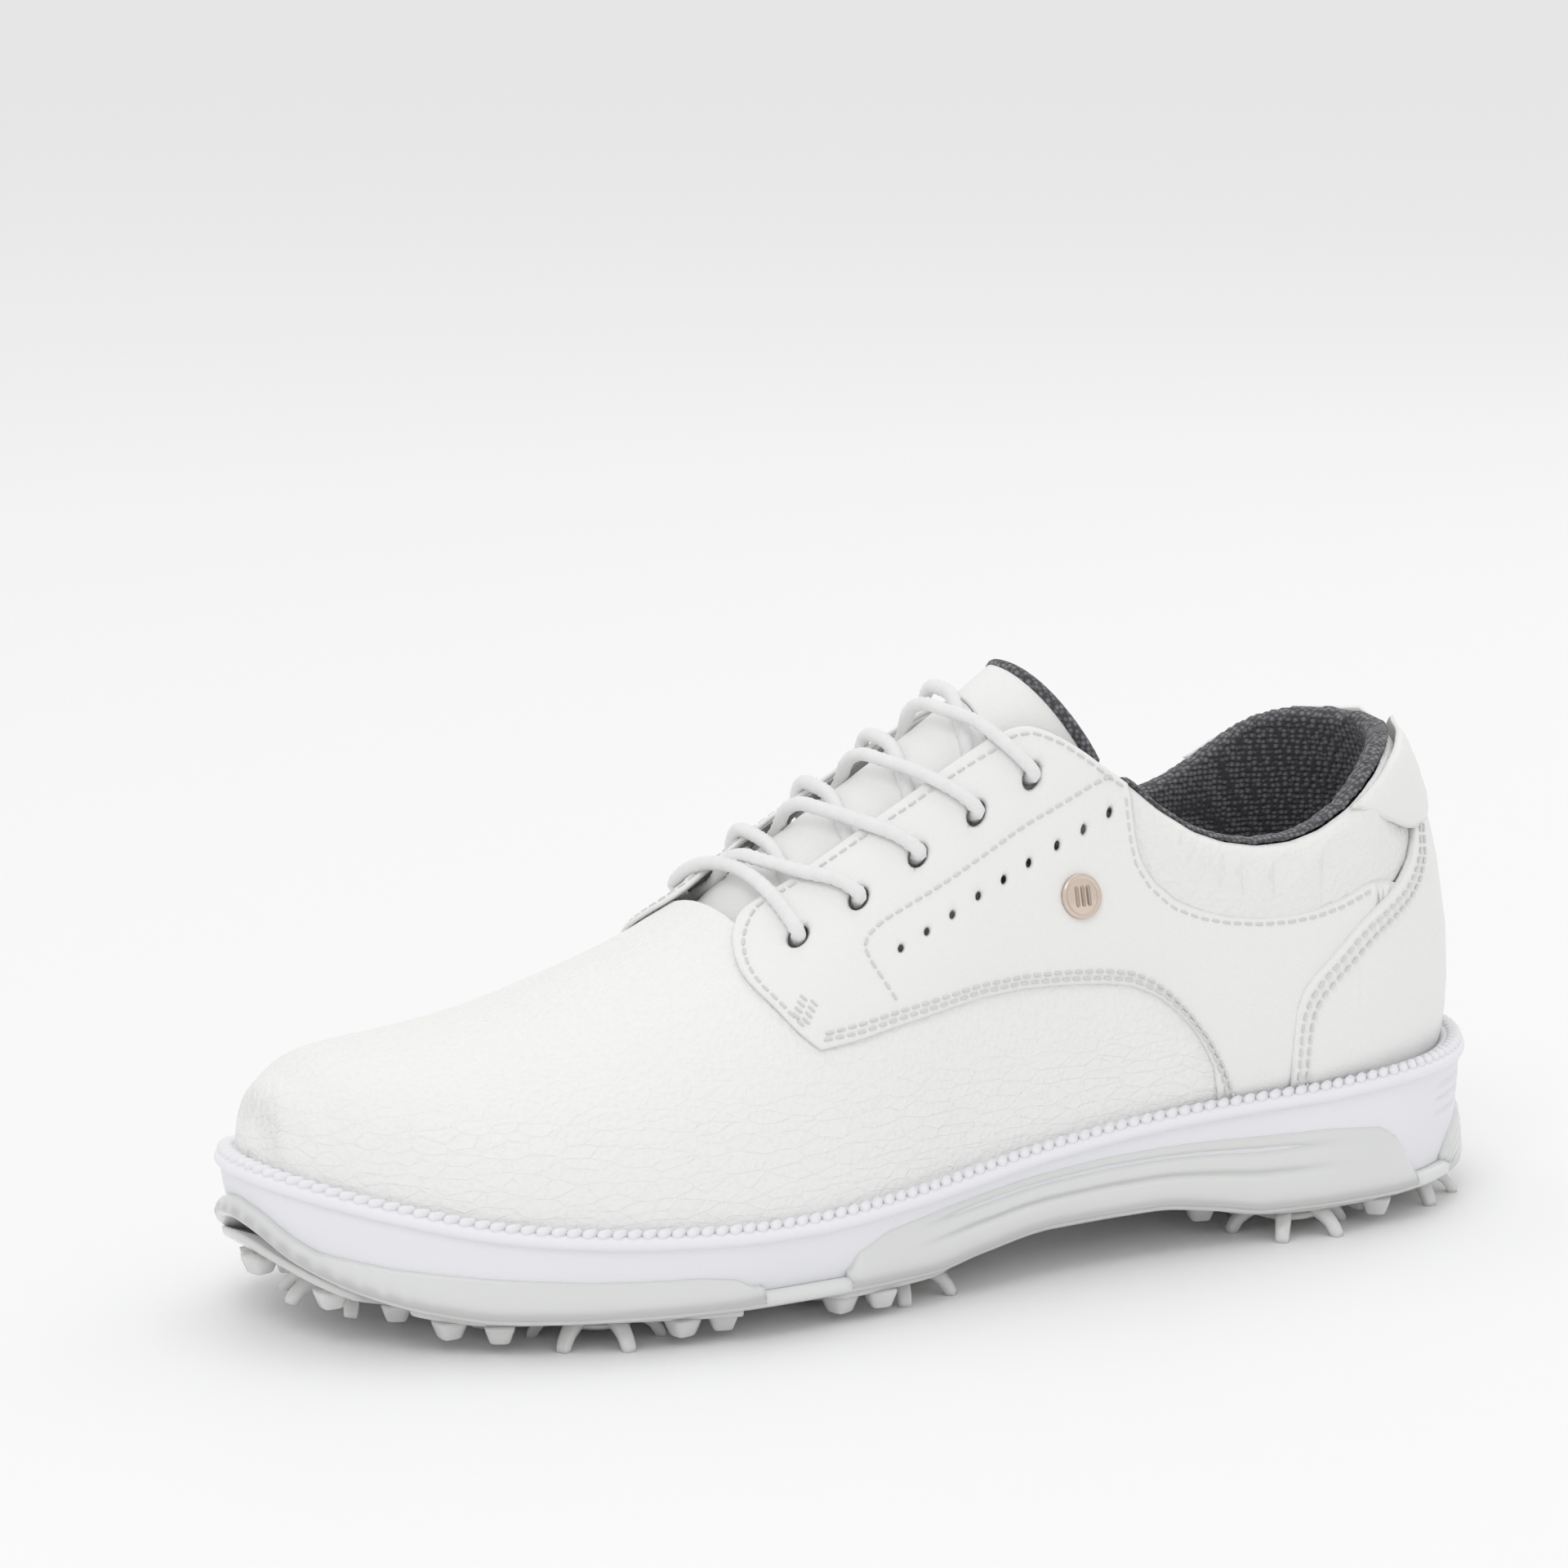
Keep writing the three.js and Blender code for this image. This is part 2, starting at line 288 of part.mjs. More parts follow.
// one end: starts at the lateral tail, up through the fifth lateral eyelet and down the ladder, round the bottom bar and back up
const route = [];
route.push(...tail(-1), ...eyeIn(4, -1, -1));
const down = (s0, top) => { let s = s0, out = []; for (let i = 3; i >= 0; i--) { out.push([...strand(i, -s, top(i, -s))].reverse(), eyeIn(i, -s, -1)); s = -s; } return [out, s]; };
{
  const [segs, s] = down(-1, (i, src) => src > 0);
  for (const g of segs) route.push(...g);
  // bottom bar from side s over to the other side, outside
  const [m, p0] = EYE[0];
  route.push([m + 0.2, 0.5 + s * 0.12, LO + 0.2], [m + 0.3, 0.5, LO + 0.1], [m + 0.2, 0.5 - s * 0.12, LO + 0.2]);
  let t = -s; route.push(...eyeIn(0, t, 1));
  for (let i = 0; i < 4; i++) { route.push(...strand(i, t, t > 0)); t = -t; route.push(...eyeIn(i + 1, t, 1)); }
  route.push(...tail(t).reverse());
  group.userData.laceEndSide = t;
}
const pts = route.map(([m, p, d]) => onLast(m, p, d));
const curve = new THREE.CatmullRomCurve3(pts, false, 'centripetal');
group.userData.laceLength = curve.getLength();
{
  const r = LACE_R * 0.9, sec = new THREE.Shape(Array.from({ length: 8 }, (_, k) => new THREE.Vector2(r * Math.cos(k * Math.PI / 4), r * Math.sin(k * Math.PI / 4))));
  add('lace', solidOf(new THREE.ExtrudeGeometry(sec, { steps: 104, bevelEnabled: false, extrudePath: curve })), M.lace);
}
for (const [nm, q, q2] of [['aglet_lateral', pts[0], pts[1]], ['aglet_medial', pts[pts.length - 1], pts[pts.length - 2]]]) {
  const d = q.clone().sub(q2).normalize(); add(nm, cyl(1.6, 1.4, 16, 10, q.clone().addScaledVector(d, 8.35), d), M.clear);
}

// ---------- sole ----------
const midTop = m => zw(m) - 0.6;
const shankRect = (g) => planCut([[66 - g, -9 - g], [66 - g, 12 + g], [150 + g, 12 + g], [150 + g, -9 - g]]);
let mid = slab(2.7, m => zo(m) + PLATE + GAP, midTop);
mid = mid.subtract(slab(14, m => zw(m) - 3.7, m => zw(m) + 3).intersect(shankRect(GAP)));
const SPK = [[274.5, 9.7], [235.6, -28.7], [228.6, 36.7], [164.5, -29.6], [172.9, 28.6], [62.6, -30.7], [71.3, 18.7], [25, -18.9], [30.8, 20.9]];
const floorAt = (m) => zo(m) + (m > 270 ? 0.8 : 0);
const TILT = SPK.map((_, i) => i === 0 ? 0.19 : 0);          // the toe spike follows the toe spring
const seat = (i, r, seg, a, b) => {                         // round solid on spike i's axis, from height a to b above the plate's under side
  const [m, y] = SPK[i], g = new THREE.CylinderGeometry(r, r, b - a, seg);
  g.rotateX(Math.PI / 2); g.translate(0, 0, (a + b) / 2); g.rotateY(TILT[i]); const c = world([m, y, floorAt(m)]); g.translate(c.x, c.y, c.z); return solidOf(g);
};
SPK.forEach((_, i) => { mid = mid.subtract(seat(i, RECEPTACLE_R + 2 * GAP, 12, 0, PLATE + 3.6)); });
mid = mid.subtract(planCut([[295.6, -30], [295.6, 40], [305, 40], [305, -30]]));
add('midsole', mid, M.eva);
add('shank', slab(14, m => zw(m) - 3.3, m => zw(m) - 1.1).intersect(shankRect(0)), M.nylon);
const weltRing = slab(-0.6, m => zw(m) - 0.3, m => zw(m) + 1.7);
add('welt', weltRing.subtract(dome(GAP + LEATHER + GAP, 6)).subtract(planCut([[20, -5], [20, 5], [280, 5], [280, -5]])), M.eva);
add('strobel_board', board(4.2, m => zw(m) - 0.3, m => zw(m) + 0.9), M.board);
add('sockliner', board(8.8, m => zw(m) + 1.3, m => zw(m) + 4.8).subtract(planCut([[-5, -60], [-5, 60], [19, 60], [19, -60]])), M.foam);

let out = slab(0, zo, m => zo(m) + PLATE);
// side wings that climb the midsole
const ring = slab(0, zo, () => 60, 40).subtract(slab(2.0, m => zo(m) - 5, () => 80, 40));
const wingFore = [[304, 5], [304, 27], [296, 22], [280, 19], [262, 17.5], [244, 16], [222, 15.5], [212, 14.5], [207, 9.5], [207, 5]];
const wingRear = [[186, 5], [184, 16], [176, 20], [160, 22.5], [140, 24.5], [116, 26], [92, 26.5], [60, 26], [46, 24.5], [41, 20], [34, 12], [34, 5]];
const wingHeel = [[24, 5], [24, 14], [18, 20], [-6, 24], [-6, 5]];
for (const w of [wingFore, wingRear, wingHeel]) out = out.add(ring.intersect(sideCut(w)));
// tread pods
const PODS = [
  [[284.6, -15.1], [265.2, -9.1], [250.9, -5.5], [240.5, -1.8], [235.2, 2.0], [234.4, 6.6], [238.5, 11.6], [248.6, 19.8], [255.6, 25.6], [265.1, 34.1], [274.0, 40.5], [280.4, 44.3], [292, 40], [299, 26], [301, 10], [297, -6], [291, -14]],
  [[212.0, -50.4], [224.2, -46.8], [243.0, -38.9], [261.7, -31.2], [275.1, -23.7], [275.1, -19.8], [268.6, -16.1], [254.9, -11.9], [238.0, -8.4], [219.5, -3.5], [210.9, -3.0], [207.0, -5.7], [205.7, -11.1], [208.0, -26.3], [209.6, -40.8]],
  [[208.7, 6.9], [214.7, 6.3], [223.9, 10.4], [238.2, 17.1], [249.7, 26.3], [261.8, 39.9], [268.8, 48.2], [246.0, 54.5], [222.4, 56.4], [207.9, 55.6], [206.6, 53.3], [205.6, 36.0], [205.8, 22.8], [205.4, 11.5]],
  [[187.1, -50.7], [190.4, -47.8], [192.2, -37.4], [194.0, -23.4], [195.7, -9.3], [194.3, -4.0], [189.6, -2.1], [180.3, -4.9], [167.5, -8.6], [148.6, -14.4], [136.4, -21.6], [131.0, -25.8], [132.4, -28.5], [140.1, -34.5], [157.3, -44.1], [172.3, -48.3]],
  [[194.1, 6.7], [196.0, 11.4], [196.5, 21.4], [195.0, 36.0], [193.4, 50.7], [190.6, 54.1], [174.6, 51.5], [156.5, 44.9], [142.4, 31.9], [137.7, 24.4], [139.1, 20.3], [148.1, 15.6], [161.8, 10.3], [178.1, 5.1], [189.5, 4.6]],
  [[84, -34], [84, -20], [78, -16], [60, -12], [44, -8], [22, -3], [9, -6], [8, -18], [16, -28], [24, -34.5], [34, -39.5], [50, -42], [68, -42]],
  [[92, 20], [92, 32], [70, 36], [50, 39], [30, 37.5], [17, 31], [8, 20], [7, 11], [20, 9.5], [46, 6], [60, 7.5], [80, 14]],
];
const podLayer = slab(1.2, m => zo(m) - POD, m => zo(m) + 1.0);
for (const q of PODS) out = out.add(podLayer.intersect(planCut(q, -10, 60)));
// grip nubs on the pods
const NUBS = [[286.4, -7], [272.3, -9.2], [246.1, 10], [257.6, 19.4], [293.6, 12.6], [287.4, 26.8], [277.2, 32], [267.4, -23.6], [258.5, -29.2], [223.2, -43.9], [213.6, -43.4], [211.2, -15.6], [239.2, 19.2], [251.3, 31.2], [258.3, 41.2], [220.8, 15.6], [212.6, 12.5], [209.7, 27.7], [208.5, 46], [176.6, -45.6], [190.8, -27.8], [189.7, -7.8], [174, -11.6], [143.8, -22.6], [190, 12], [191.7, 28.7], [153.0, 17], [148.5, 34], [80, -25], [46, -18], [46, -32], [44, -37], [52, 15], [50, 30], [68, 36.2], [9.6, -11], [11, 14.8]];
for (const [m, y] of NUBS) {
  if (Math.min(...SPK.map(([a, b]) => Math.hypot(a - m, b - y))) < SPIKE_REACH + 3.4) continue;
  const z = zo(m) - POD, g = cyl(3.0, 1.9, 4.4, 4, world([m, y, z - 1.8]), UP.clone().negate()); out = out.add(g);
}
// seats for the spikes, window in the arch, heel slot
SPK.forEach((_, i) => { out = out.subtract(seat(i, RECEPTACLE_R + GAP, 12, -6, PLATE + 4)); });
out = out.subtract(seat(0, SPIKE_REACH + 1.5, 14, -9, -POD - 0.05));   // flat seat for the toe spike
const WINDOW = [[148.0, -3.1], [148.6, 2.2], [145.2, 7.1], [134.5, 12.7], [122.7, 17.4], [115.8, 18.7], [108.2, 16.6], [94.4, 8.1], [77.3, -0.3], [74.2, -4.2], [77.1, -8.4], [86.3, -11.7], [103.2, -16.9], [115.0, -17.3], [123.9, -15.0], [139.6, -8.5]];
const wc = [112, 0], scaleW = (k) => WINDOW.map(([m, y]) => [wc[0] + (m - wc[0]) * k, wc[1] + (y - wc[1]) * k]);
out = out.subtract(planCut(WINDOW, -10, 60));
add('outsole', out, M.tpu);
add('arch_window', slab(6, m => zo(m) + 0.8, m => zo(m) + PLATE - 0.1).intersect(planCut(scaleW(0.984), -10, 60)), M.tpu);

// ---------- spikes and their receptacles ----------
SPK.forEach(([m, y], i) => {
  let rec = seat(i, RECEPTACLE_R, 12, 0.1 - POD, PLATE + 3.0).subtract(seat(i, RECEPTACLE_BORE, 10, -POD - 3, PLATE + 1.8));
  add('receptacle_' + (i + 1), rec, M.nylon);
  const c = world([m, y, floorAt(m)]), hubTop = -POD - 0.35, tip = -7.0;
  let sp = seat(i, SPIKE_HUB_R, 12, hubTop - 2.0, hubTop).add(seat(i, STUD_R, 8, hubTop - 1, hubTop + 6.2));
  const phase = 0.2 + i * 0.35;
  for (let k = 0; k < SPIKE_LEGS; k++) {
    // leg: flat-tipped wedge that splays out and down from the hub
    const shp = new THREE.Shape([[6.6, hubTop - 0.2], [SPIKE_REACH, tip + 1.6], [SPIKE_REACH, tip], [SPIKE_REACH - 2.6, tip], [6.0, hubTop - 1.9]].map(p => new THREE.Vector2(p[0], p[1])));
    const g = new THREE.ExtrudeGeometry(shp, { depth: 3.2, bevelEnabled: false, steps: 1 });
    g.translate(0, 0, -1.6); g.rotateX(Math.PI / 2); g.rotateZ(phase + k * Math.PI / 3); g.rotateY(TILT[i]); g.translate(c.x, c.y, c.z);
    sp = sp.add(solidOf(g));
  }
  add('spike_' + (i + 1), sp, M.clear);
});
export default group;
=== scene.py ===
import bpy, bmesh, math, json
import numpy as np
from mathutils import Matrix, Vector
from mathutils.geometry import delaunay_2d_cdt

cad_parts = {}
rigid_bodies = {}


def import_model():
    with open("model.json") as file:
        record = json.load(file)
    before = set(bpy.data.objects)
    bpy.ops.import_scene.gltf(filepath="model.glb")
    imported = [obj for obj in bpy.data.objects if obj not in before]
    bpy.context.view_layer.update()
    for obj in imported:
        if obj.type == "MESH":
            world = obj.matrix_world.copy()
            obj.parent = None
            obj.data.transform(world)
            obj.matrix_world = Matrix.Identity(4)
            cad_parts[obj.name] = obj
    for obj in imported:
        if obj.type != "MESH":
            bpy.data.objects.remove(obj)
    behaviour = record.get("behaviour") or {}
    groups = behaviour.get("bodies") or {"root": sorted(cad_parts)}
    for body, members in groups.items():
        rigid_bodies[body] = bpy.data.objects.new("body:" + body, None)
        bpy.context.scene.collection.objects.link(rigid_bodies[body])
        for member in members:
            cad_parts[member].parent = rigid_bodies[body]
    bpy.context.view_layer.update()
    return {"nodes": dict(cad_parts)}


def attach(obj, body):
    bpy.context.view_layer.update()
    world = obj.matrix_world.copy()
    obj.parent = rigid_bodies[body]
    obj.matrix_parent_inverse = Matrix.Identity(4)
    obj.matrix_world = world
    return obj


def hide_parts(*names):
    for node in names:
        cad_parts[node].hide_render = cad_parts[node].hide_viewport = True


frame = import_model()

# ------------------------------------------------------------------ the last
X0, YS = 150.25, -2.95
MU = np.array([7.6,8.8,12.4,18.2,26.2,36.2,48.2,62.0,77.5,94.6,112.6,131.3,150.3,169.3,187.9,206.0,223.0,238.9,253.2,265.8,276.3,284.8,290.9,294.6,295.8])
YL = np.array([2.5,-5.8,-14.2,-22.4,-29.8,-35.3,-38.4,-39.2,-37.8,-36.5,-36.0,-37.0,-39.8,-43.6,-46.3,-46.8,-45.0,-41.0,-35.3,-28.3,-20.6,-12.6,-4.4,3.8,12.0])
YM = np.array([2.5,10.4,18.0,24.8,30.2,33.9,35.5,34.6,32.5,31.4,32.5,35.9,41.3,46.3,50.0,52.1,52.7,51.9,50.0,46.9,42.4,36.0,28.3,20.0,12.0])
UU = np.linspace(0, 1, 25)
SMU = np.array([0.2,1.5,5.3,11.6,20.3,31.2,44.1,58.9,75.2,92.8,111.4,130.7,150.3,169.9,189.1,207.7,225.3,241.6,256.4,269.3,280.2,288.9,295.2,299.0,300.3])
SYL = np.array([2.5,-7.2,-17.0,-26.5,-34.8,-41.0,-44.3,-44.9,-43.2,-41.6,-41.0,-42.0,-45.0,-48.6,-50.9,-51.3,-49.2,-44.9,-38.7,-31.3,-23.2,-14.7,-5.9,3.1,12.0])
SYM = np.array([2.5,11.8,20.8,28.8,35.1,39.4,41.4,40.2,37.6,36.5,37.4,41.1,46.4,51.1,54.7,56.7,57.2,56.2,54.0,50.5,45.3,38.2,29.8,20.8,12.0])
ZW = ([0,30,64,100,134,170,200,232,260,280,300],[33.5,34,32.5,30.5,27.5,24,22.5,23.5,26,30,35])
ZO = ([0,8,16,75,88,104,130,150,165,245,260,274,285,295,301],[11,8,7,7,9,11,11,9,7,7,7.2,9.2,12.5,18,25])
RM = [40,55,70,80,90,106,124,150,170,182,200,221,240,258,272,281,287,291.5,294.5,295.8]
RZ = [250,222,190,173,158,141,127.5,109.5,97,89,77.8,69.6,63.6,60.2,58.6,56.8,53.5,51,45.5,38]
AM = [0,90,130,182,240,290]; AV = [3.2,3.0,2.4,2.2,2.3,2.6]; BV = [2.0,2.0,1.9,1.9,2.0,2.2]
COLLAR = [(22,105.5),(28,104.8),(35,102.5),(42,98.5),(50,93.5),(58,90),(66,88.2),(74,88),(82,89.5),(89,92.3),(96,97.2),(102,103.2)]

def pchip(xs, ys, x):
    xs = np.asarray(xs, float); ys = np.asarray(ys, float); x = np.clip(np.asarray(x, float), xs[0], xs[-1])
    h = np.diff(xs); d = np.diff(ys)/h; n = len(xs); t = np.zeros(n); t[0] = d[0]; t[-1] = d[-1]
    for i in range(1, n-1):
        if d[i-1]*d[i] > 0:
            w1 = 2*h[i]+h[i-1]; w2 = h[i]+2*h[i-1]; t[i] = (w1+w2)/(w1/d[i-1]+w2/d[i])
    i = np.clip(np.searchsorted(xs, x, side='right')-1, 0, n-2); s = (x-xs[i])/h[i]
    return (2*s**3-3*s**2+1)*ys[i]+(s**3-2*s**2+s)*h[i]*t[i]+(-2*s**3+3*s**2)*ys[i+1]+(s**3-s**2)*h[i]*t[i+1]
def sm(a, b, x):
    t = np.clip((np.asarray(x, float)-a)/(b-a), 0, 1); return t*t*(3-2*t)
zw = lambda m: pchip(*ZW, m)
zo = lambda m: pchip(*ZO, m)
def last(u, p):
    m = pchip(UU, MU, u); yl = pchip(UU, YL, u); ym = pchip(UU, YM, u)
    z0 = zw(m); R = pchip(RM, RZ, m); a = pchip(AM, AV, m); b = pchip(AM, BV, m)
    yr = (yl+ym)/2+pchip([0,150,182,220,296],[0,0,-1,-2,0], m)
    c = np.cos(np.pi*p); s = np.abs(np.sin(np.pi*p)); k = np.abs(c)**(2/b); z = z0+(R-z0)*s**(2/a)
    side = np.where(c >= 0, yl-yr, ym-yr)
    nar = 1-0.2*sm(45, 115, z)*(1-sm(95, 150, m))
    lean = np.interp(z, [34,45,60,75,90,100,112,130], [0,-1.2,-1.0,1.0,4.5,8.5,15,22])*(1-sm(5, 70, m))
    return np.stack([m+lean, yr+side*k*nar, z], -1)
def off(u, p, d):
    """offset point, world millimetres"""
    u = np.asarray(u, float); p = np.asarray(p, float); d = np.broadcast_to(np.asarray(d, float), u.shape)
    q = last(u, p); e = 1e-3; uc = np.clip(u, .006, .994); pc = np.clip(p, .006, .994)
    du = last(uc+e, pc)-last(uc-e, pc); dp = last(uc, pc+e)-last(uc, pc-e)
    n = np.cross(du, dp); low = (p < 1e-9) | (p > 1-1e-9); n[low, 2] = 0
    n[u < 1e-9] = [-1, 0, 0]; n[u > 1-1e-9] = [1, 0, 0]
    n /= np.linalg.norm(n, axis=-1, keepdims=True)
    q = q+n*d[..., None]
    return np.stack([X0-q[..., 0], q[..., 1]+YS, q[..., 2]], -1)
_ut = np.linspace(0, 1, 2001); _mt = pchip(UU, MU, _ut)
def inv_mz(m, z, side=-1):
    m = np.atleast_1d(np.asarray(m, float)); z = np.atleast_1d(np.asarray(z, float)); mm = m.copy()
    for _ in range(6):
        u = np.interp(mm, _mt, _ut); lo = np.zeros_like(u); hi = np.full_like(u, .5)
        for _ in range(26):
            c = (lo+hi)/2; q = last(u, c); up = q[:, 2] < z; lo = np.where(up, c, lo); hi = np.where(up, hi, c)
        p = (lo+hi)/2; q = last(u, p); mm = np.maximum(mm+(m-q[:, 0]), 7.6)
    return u, (p if side < 0 else 1-p)
def inv_my(m, y):
    m = np.atleast_1d(np.asarray(m, float)); y = np.atleast_1d(np.asarray(y, float)); u = np.interp(m, _mt, _ut)
    lo = np.zeros_like(u); hi = np.ones_like(u)
    for _ in range(28):
        c = (lo+hi)/2; q = last(u, c); up = q[:, 1] < y; lo = np.where(up, c, lo); hi = np.where(up, hi, c)
    return u, (lo+hi)/2
SC = 185.0                                   # p to millimetres, roughly
def ab(u, p): return np.stack([np.interp(u, _ut, _mt), np.asarray(p)*SC], -1)
def un(ab_): return np.interp(ab_[:, 0], _mt, _ut), ab_[:, 1]/SC

# ------------------------------------------------------------------ mesh tools
coll = bpy.context.scene.collection
def mkobj(name, v, f, mat, smooth=True, mm=True):
    v = np.asarray(v, float)*(0.001 if mm else 1)
    me = bpy.data.meshes.new(name); me.from_pydata([tuple(a) for a in v], [], [tuple(int(i) for i in a) for a in f]); me.validate(); me.update()
    o = bpy.data.objects.new(name, me); coll.objects.link(o)
    if mat: me.materials.append(mat)
    if smooth: me.polygons.foreach_set("use_smooth", [True]*len(me.polygons))
    return o
def merge(o, d=0.00002):
    bm = bmesh.new(); bm.from_mesh(o.data); bmesh.ops.remove_doubles(bm, verts=bm.verts, dist=d)
    bmesh.ops.dissolve_degenerate(bm, dist=1e-6, edges=bm.edges); bm.to_mesh(o.data); bm.free(); return o
def recalc(o):
    bm = bmesh.new(); bm.from_mesh(o.data); bmesh.ops.recalc_face_normals(bm, faces=bm.faces); bm.to_mesh(o.data); bm.free(); return o
def apply(o):
    bpy.context.view_layer.objects.active = o
    for x in bpy.context.selected_objects: x.select_set(False)
    o.select_set(True)
    for md in list(o.modifiers): bpy.ops.object.modifier_apply(modifier=md.name)
    return o
def join(objs, name):
    for x in bpy.context.selected_objects: x.select_set(False)
    for o in objs: o.select_set(True)
    bpy.context.view_layer.objects.active = objs[0]; bpy.ops.object.join(); objs[0].name = name; return objs[0]
def resample(pts, step, closed=False):
    pts = np.asarray(pts, float)
    if closed: pts = np.vstack([pts, pts[:1]])
    L = np.r_[0, np.cumsum(np.linalg.norm(np.diff(pts, axis=0), axis=1))]; n = max(int(round(L[-1]/step)), 2)
    t = np.linspace(0, L[-1], n+1); q = np.stack([np.interp(t, L, pts[:, k]) for k in range(pts.shape[1])], -1)
    return q[:-1] if closed else q
def smoothline(pts, it=2):
    pts = np.asarray(pts, float)
    for _ in range(it):
        a = pts[:-1]*.75+pts[1:]*.25; b = pts[:-1]*.25+pts[1:]*.75; m = np.empty((2*len(a), pts.shape[1])); m[0::2] = a; m[1::2] = b; pts = np.vstack([pts[:1], m, pts[-1:]])
    return pts
def segdist(P, poly, closed=True):
    A = np.asarray(poly); B = np.roll(A, -1, 0) if closed else A[1:]; A = A if closed else A[:-1]
    out = np.full(len(P), 1e9)
    for a, b in zip(A, B):
        d = b-a; l = d@d
        t = np.clip(((P-a)@d)/(l if l else 1), 0, 1); out = np.minimum(out, np.hypot(*(P-a-t[:, None]*d).T))
    return out
def inside(P, poly):
    x, y = P[:, 0], P[:, 1]; c = np.zeros(len(P), bool); A = np.asarray(poly); B = np.roll(A, -1, 0)
    for (x1, y1), (x2, y2) in zip(A, B):
        k = ((y1 > y) != (y2 > y)); 
        if y1 != y2: c ^= k & (x < (x2-x1)*(y-y1)/(y2-y1)+x1)
    return c
def panel(name, poly, mat, d=1.5, t=1.2, step=2.2, holes=(), noroll=None, puff=0, puffw=12, grooves=(), roll=.9, dfun=None):
    """leather panel over the last. poly is closed, in (m, p*SC). The skin lies at offset d, its edge rolls down."""
    B = resample(poly, 1.6, True)
    lo, hi = B.min(0), B.max(0)
    gx, gy = np.meshgrid(np.arange(lo[0], hi[0], step), np.arange(lo[1], hi[1], step), indexing='ij'); gx = gx+(np.arange(gx.shape[1])%2)[None, :]*step/2
    G = np.stack([gx.ravel(), gy.ravel()], -1); G = G[inside(G, B)]; dist = segdist(G, B); G = G[dist > 1.7]
    # inner ring just inside the edge
    nx = np.roll(B, -1, 0)-np.roll(B, 1, 0); nrm = np.stack([-nx[:, 1], nx[:, 0]], -1); nrm /= np.linalg.norm(nrm, axis=1)[:, None]+1e-9
    if not inside(B+nrm*.05, B).mean() > .5: nrm = -nrm
    rings = [B]
    for k in (.35, .9): 
        r = B+nrm*k; ok = inside(r, B) & (segdist(r, B) > k*.8); rings.append(r[ok])
    V = [B]; E = []; F = [list(range(len(B)))]
    n = len(B); E += [(i, (i+1) % n) for i in range(n)]
    hol = []
    for h in holes:
        c, r, k = h; a = np.linspace(0, 2*np.pi, k, endpoint=False); ring = np.stack([c[0]+r*np.cos(a), c[1]+r*np.sin(a)], -1); hol.append(ring)
        E += [(n+i, n+(i+1) % k) for i in range(k)]; V.append(ring); n += k
        G = G[np.hypot(*(G-c).T) > r+.7]
        a2 = np.linspace(0, 2*np.pi, k, endpoint=False)+np.pi/k; ring2 = np.stack([c[0]+(r+.55)*np.cos(a2), c[1]+(r+.55)*np.sin(a2)], -1); rings.append(ring2)
    V += [r for r in rings[1:]]; V.append(G); V = np.vstack(V)
    ov, oe, of, *_ = delaunay_2d_cdt([Vector(a) for a in V], E, F, 1, 1e-5)
    ov = np.array([[a.x, a.y] for a in ov]); of = np.array([f for f in of if len(f) == 3])
    cen = ov[of].mean(1); keep = np.ones(len(of), bool)
    for ring in hol: keep &= ~inside(cen, ring)
    of = of[keep]
    dist = segdist(ov, B)
    if noroll is not None:
        q = segdist(ov, np.asarray(noroll), False); dist = np.where(q < 1e-6, 9, dist); 
        B2 = [b for b in range(len(B))]; 
        fr = segdist(B, np.asarray(noroll), False) < 1.0
        if (~fr).any(): dist = segdist(ov, B[~fr], False) if not fr[0] or not fr[-1] else np.minimum(segdist(ov, B[~fr], False), 1e9)
    for ring in hol: dist = np.minimum(dist, np.maximum(segdist(ov, ring), 0)*1.0)
    dd = d-roll*(1-np.sqrt(np.clip(1-(1-np.clip(dist/roll, 0, 1))**2, 0, 1)))*.8
    if puff: dd = dd+puff*sm(0, puffw, dist)
    for line, depth, wid in grooves: dd = dd-depth*np.exp(-(segdist(ov, line, False)/wid)**2)
    u, p = un(ov)
    if dfun is not None: dd = dd+dfun(np.interp(u, _ut, _mt), p)
    P = off(u, p, dd)
    o = mkobj(name, P, of, mat); merge(o)
    # outward faces
    me = o.data; c = np.zeros(3); s = 0
    c0 = np.array([X0-150, YS, 40.])/1000
    for f in list(me.polygons)[::23]: s += (Vector(f.center)-Vector((f.center.x, YS/1000, .03))).dot(f.normal)
    if s < 0: me.flip_normals()
    md = o.modifiers.new('s', 'SOLIDIFY'); md.thickness = t/1000; md.offset = -1; md.use_rim = True; apply(o)
    o.data.polygons.foreach_set("use_smooth", [True]*len(o.data.polygons))
    return o
def mz(pts, side=-1, it=0):
    pts = smoothline(pts, it) if it else np.asarray(pts, float); pts = resample(pts, 2.0)
    return ab(*inv_mz(pts[:, 0], pts[:, 1], side))
def my(pts): pts = resample(np.asarray(pts, float), 2.0); return ab(*inv_my(pts[:, 0], pts[:, 1]))
def mir(a): a = np.array(a); a[:, 1] = SC-a[:, 1]; return a
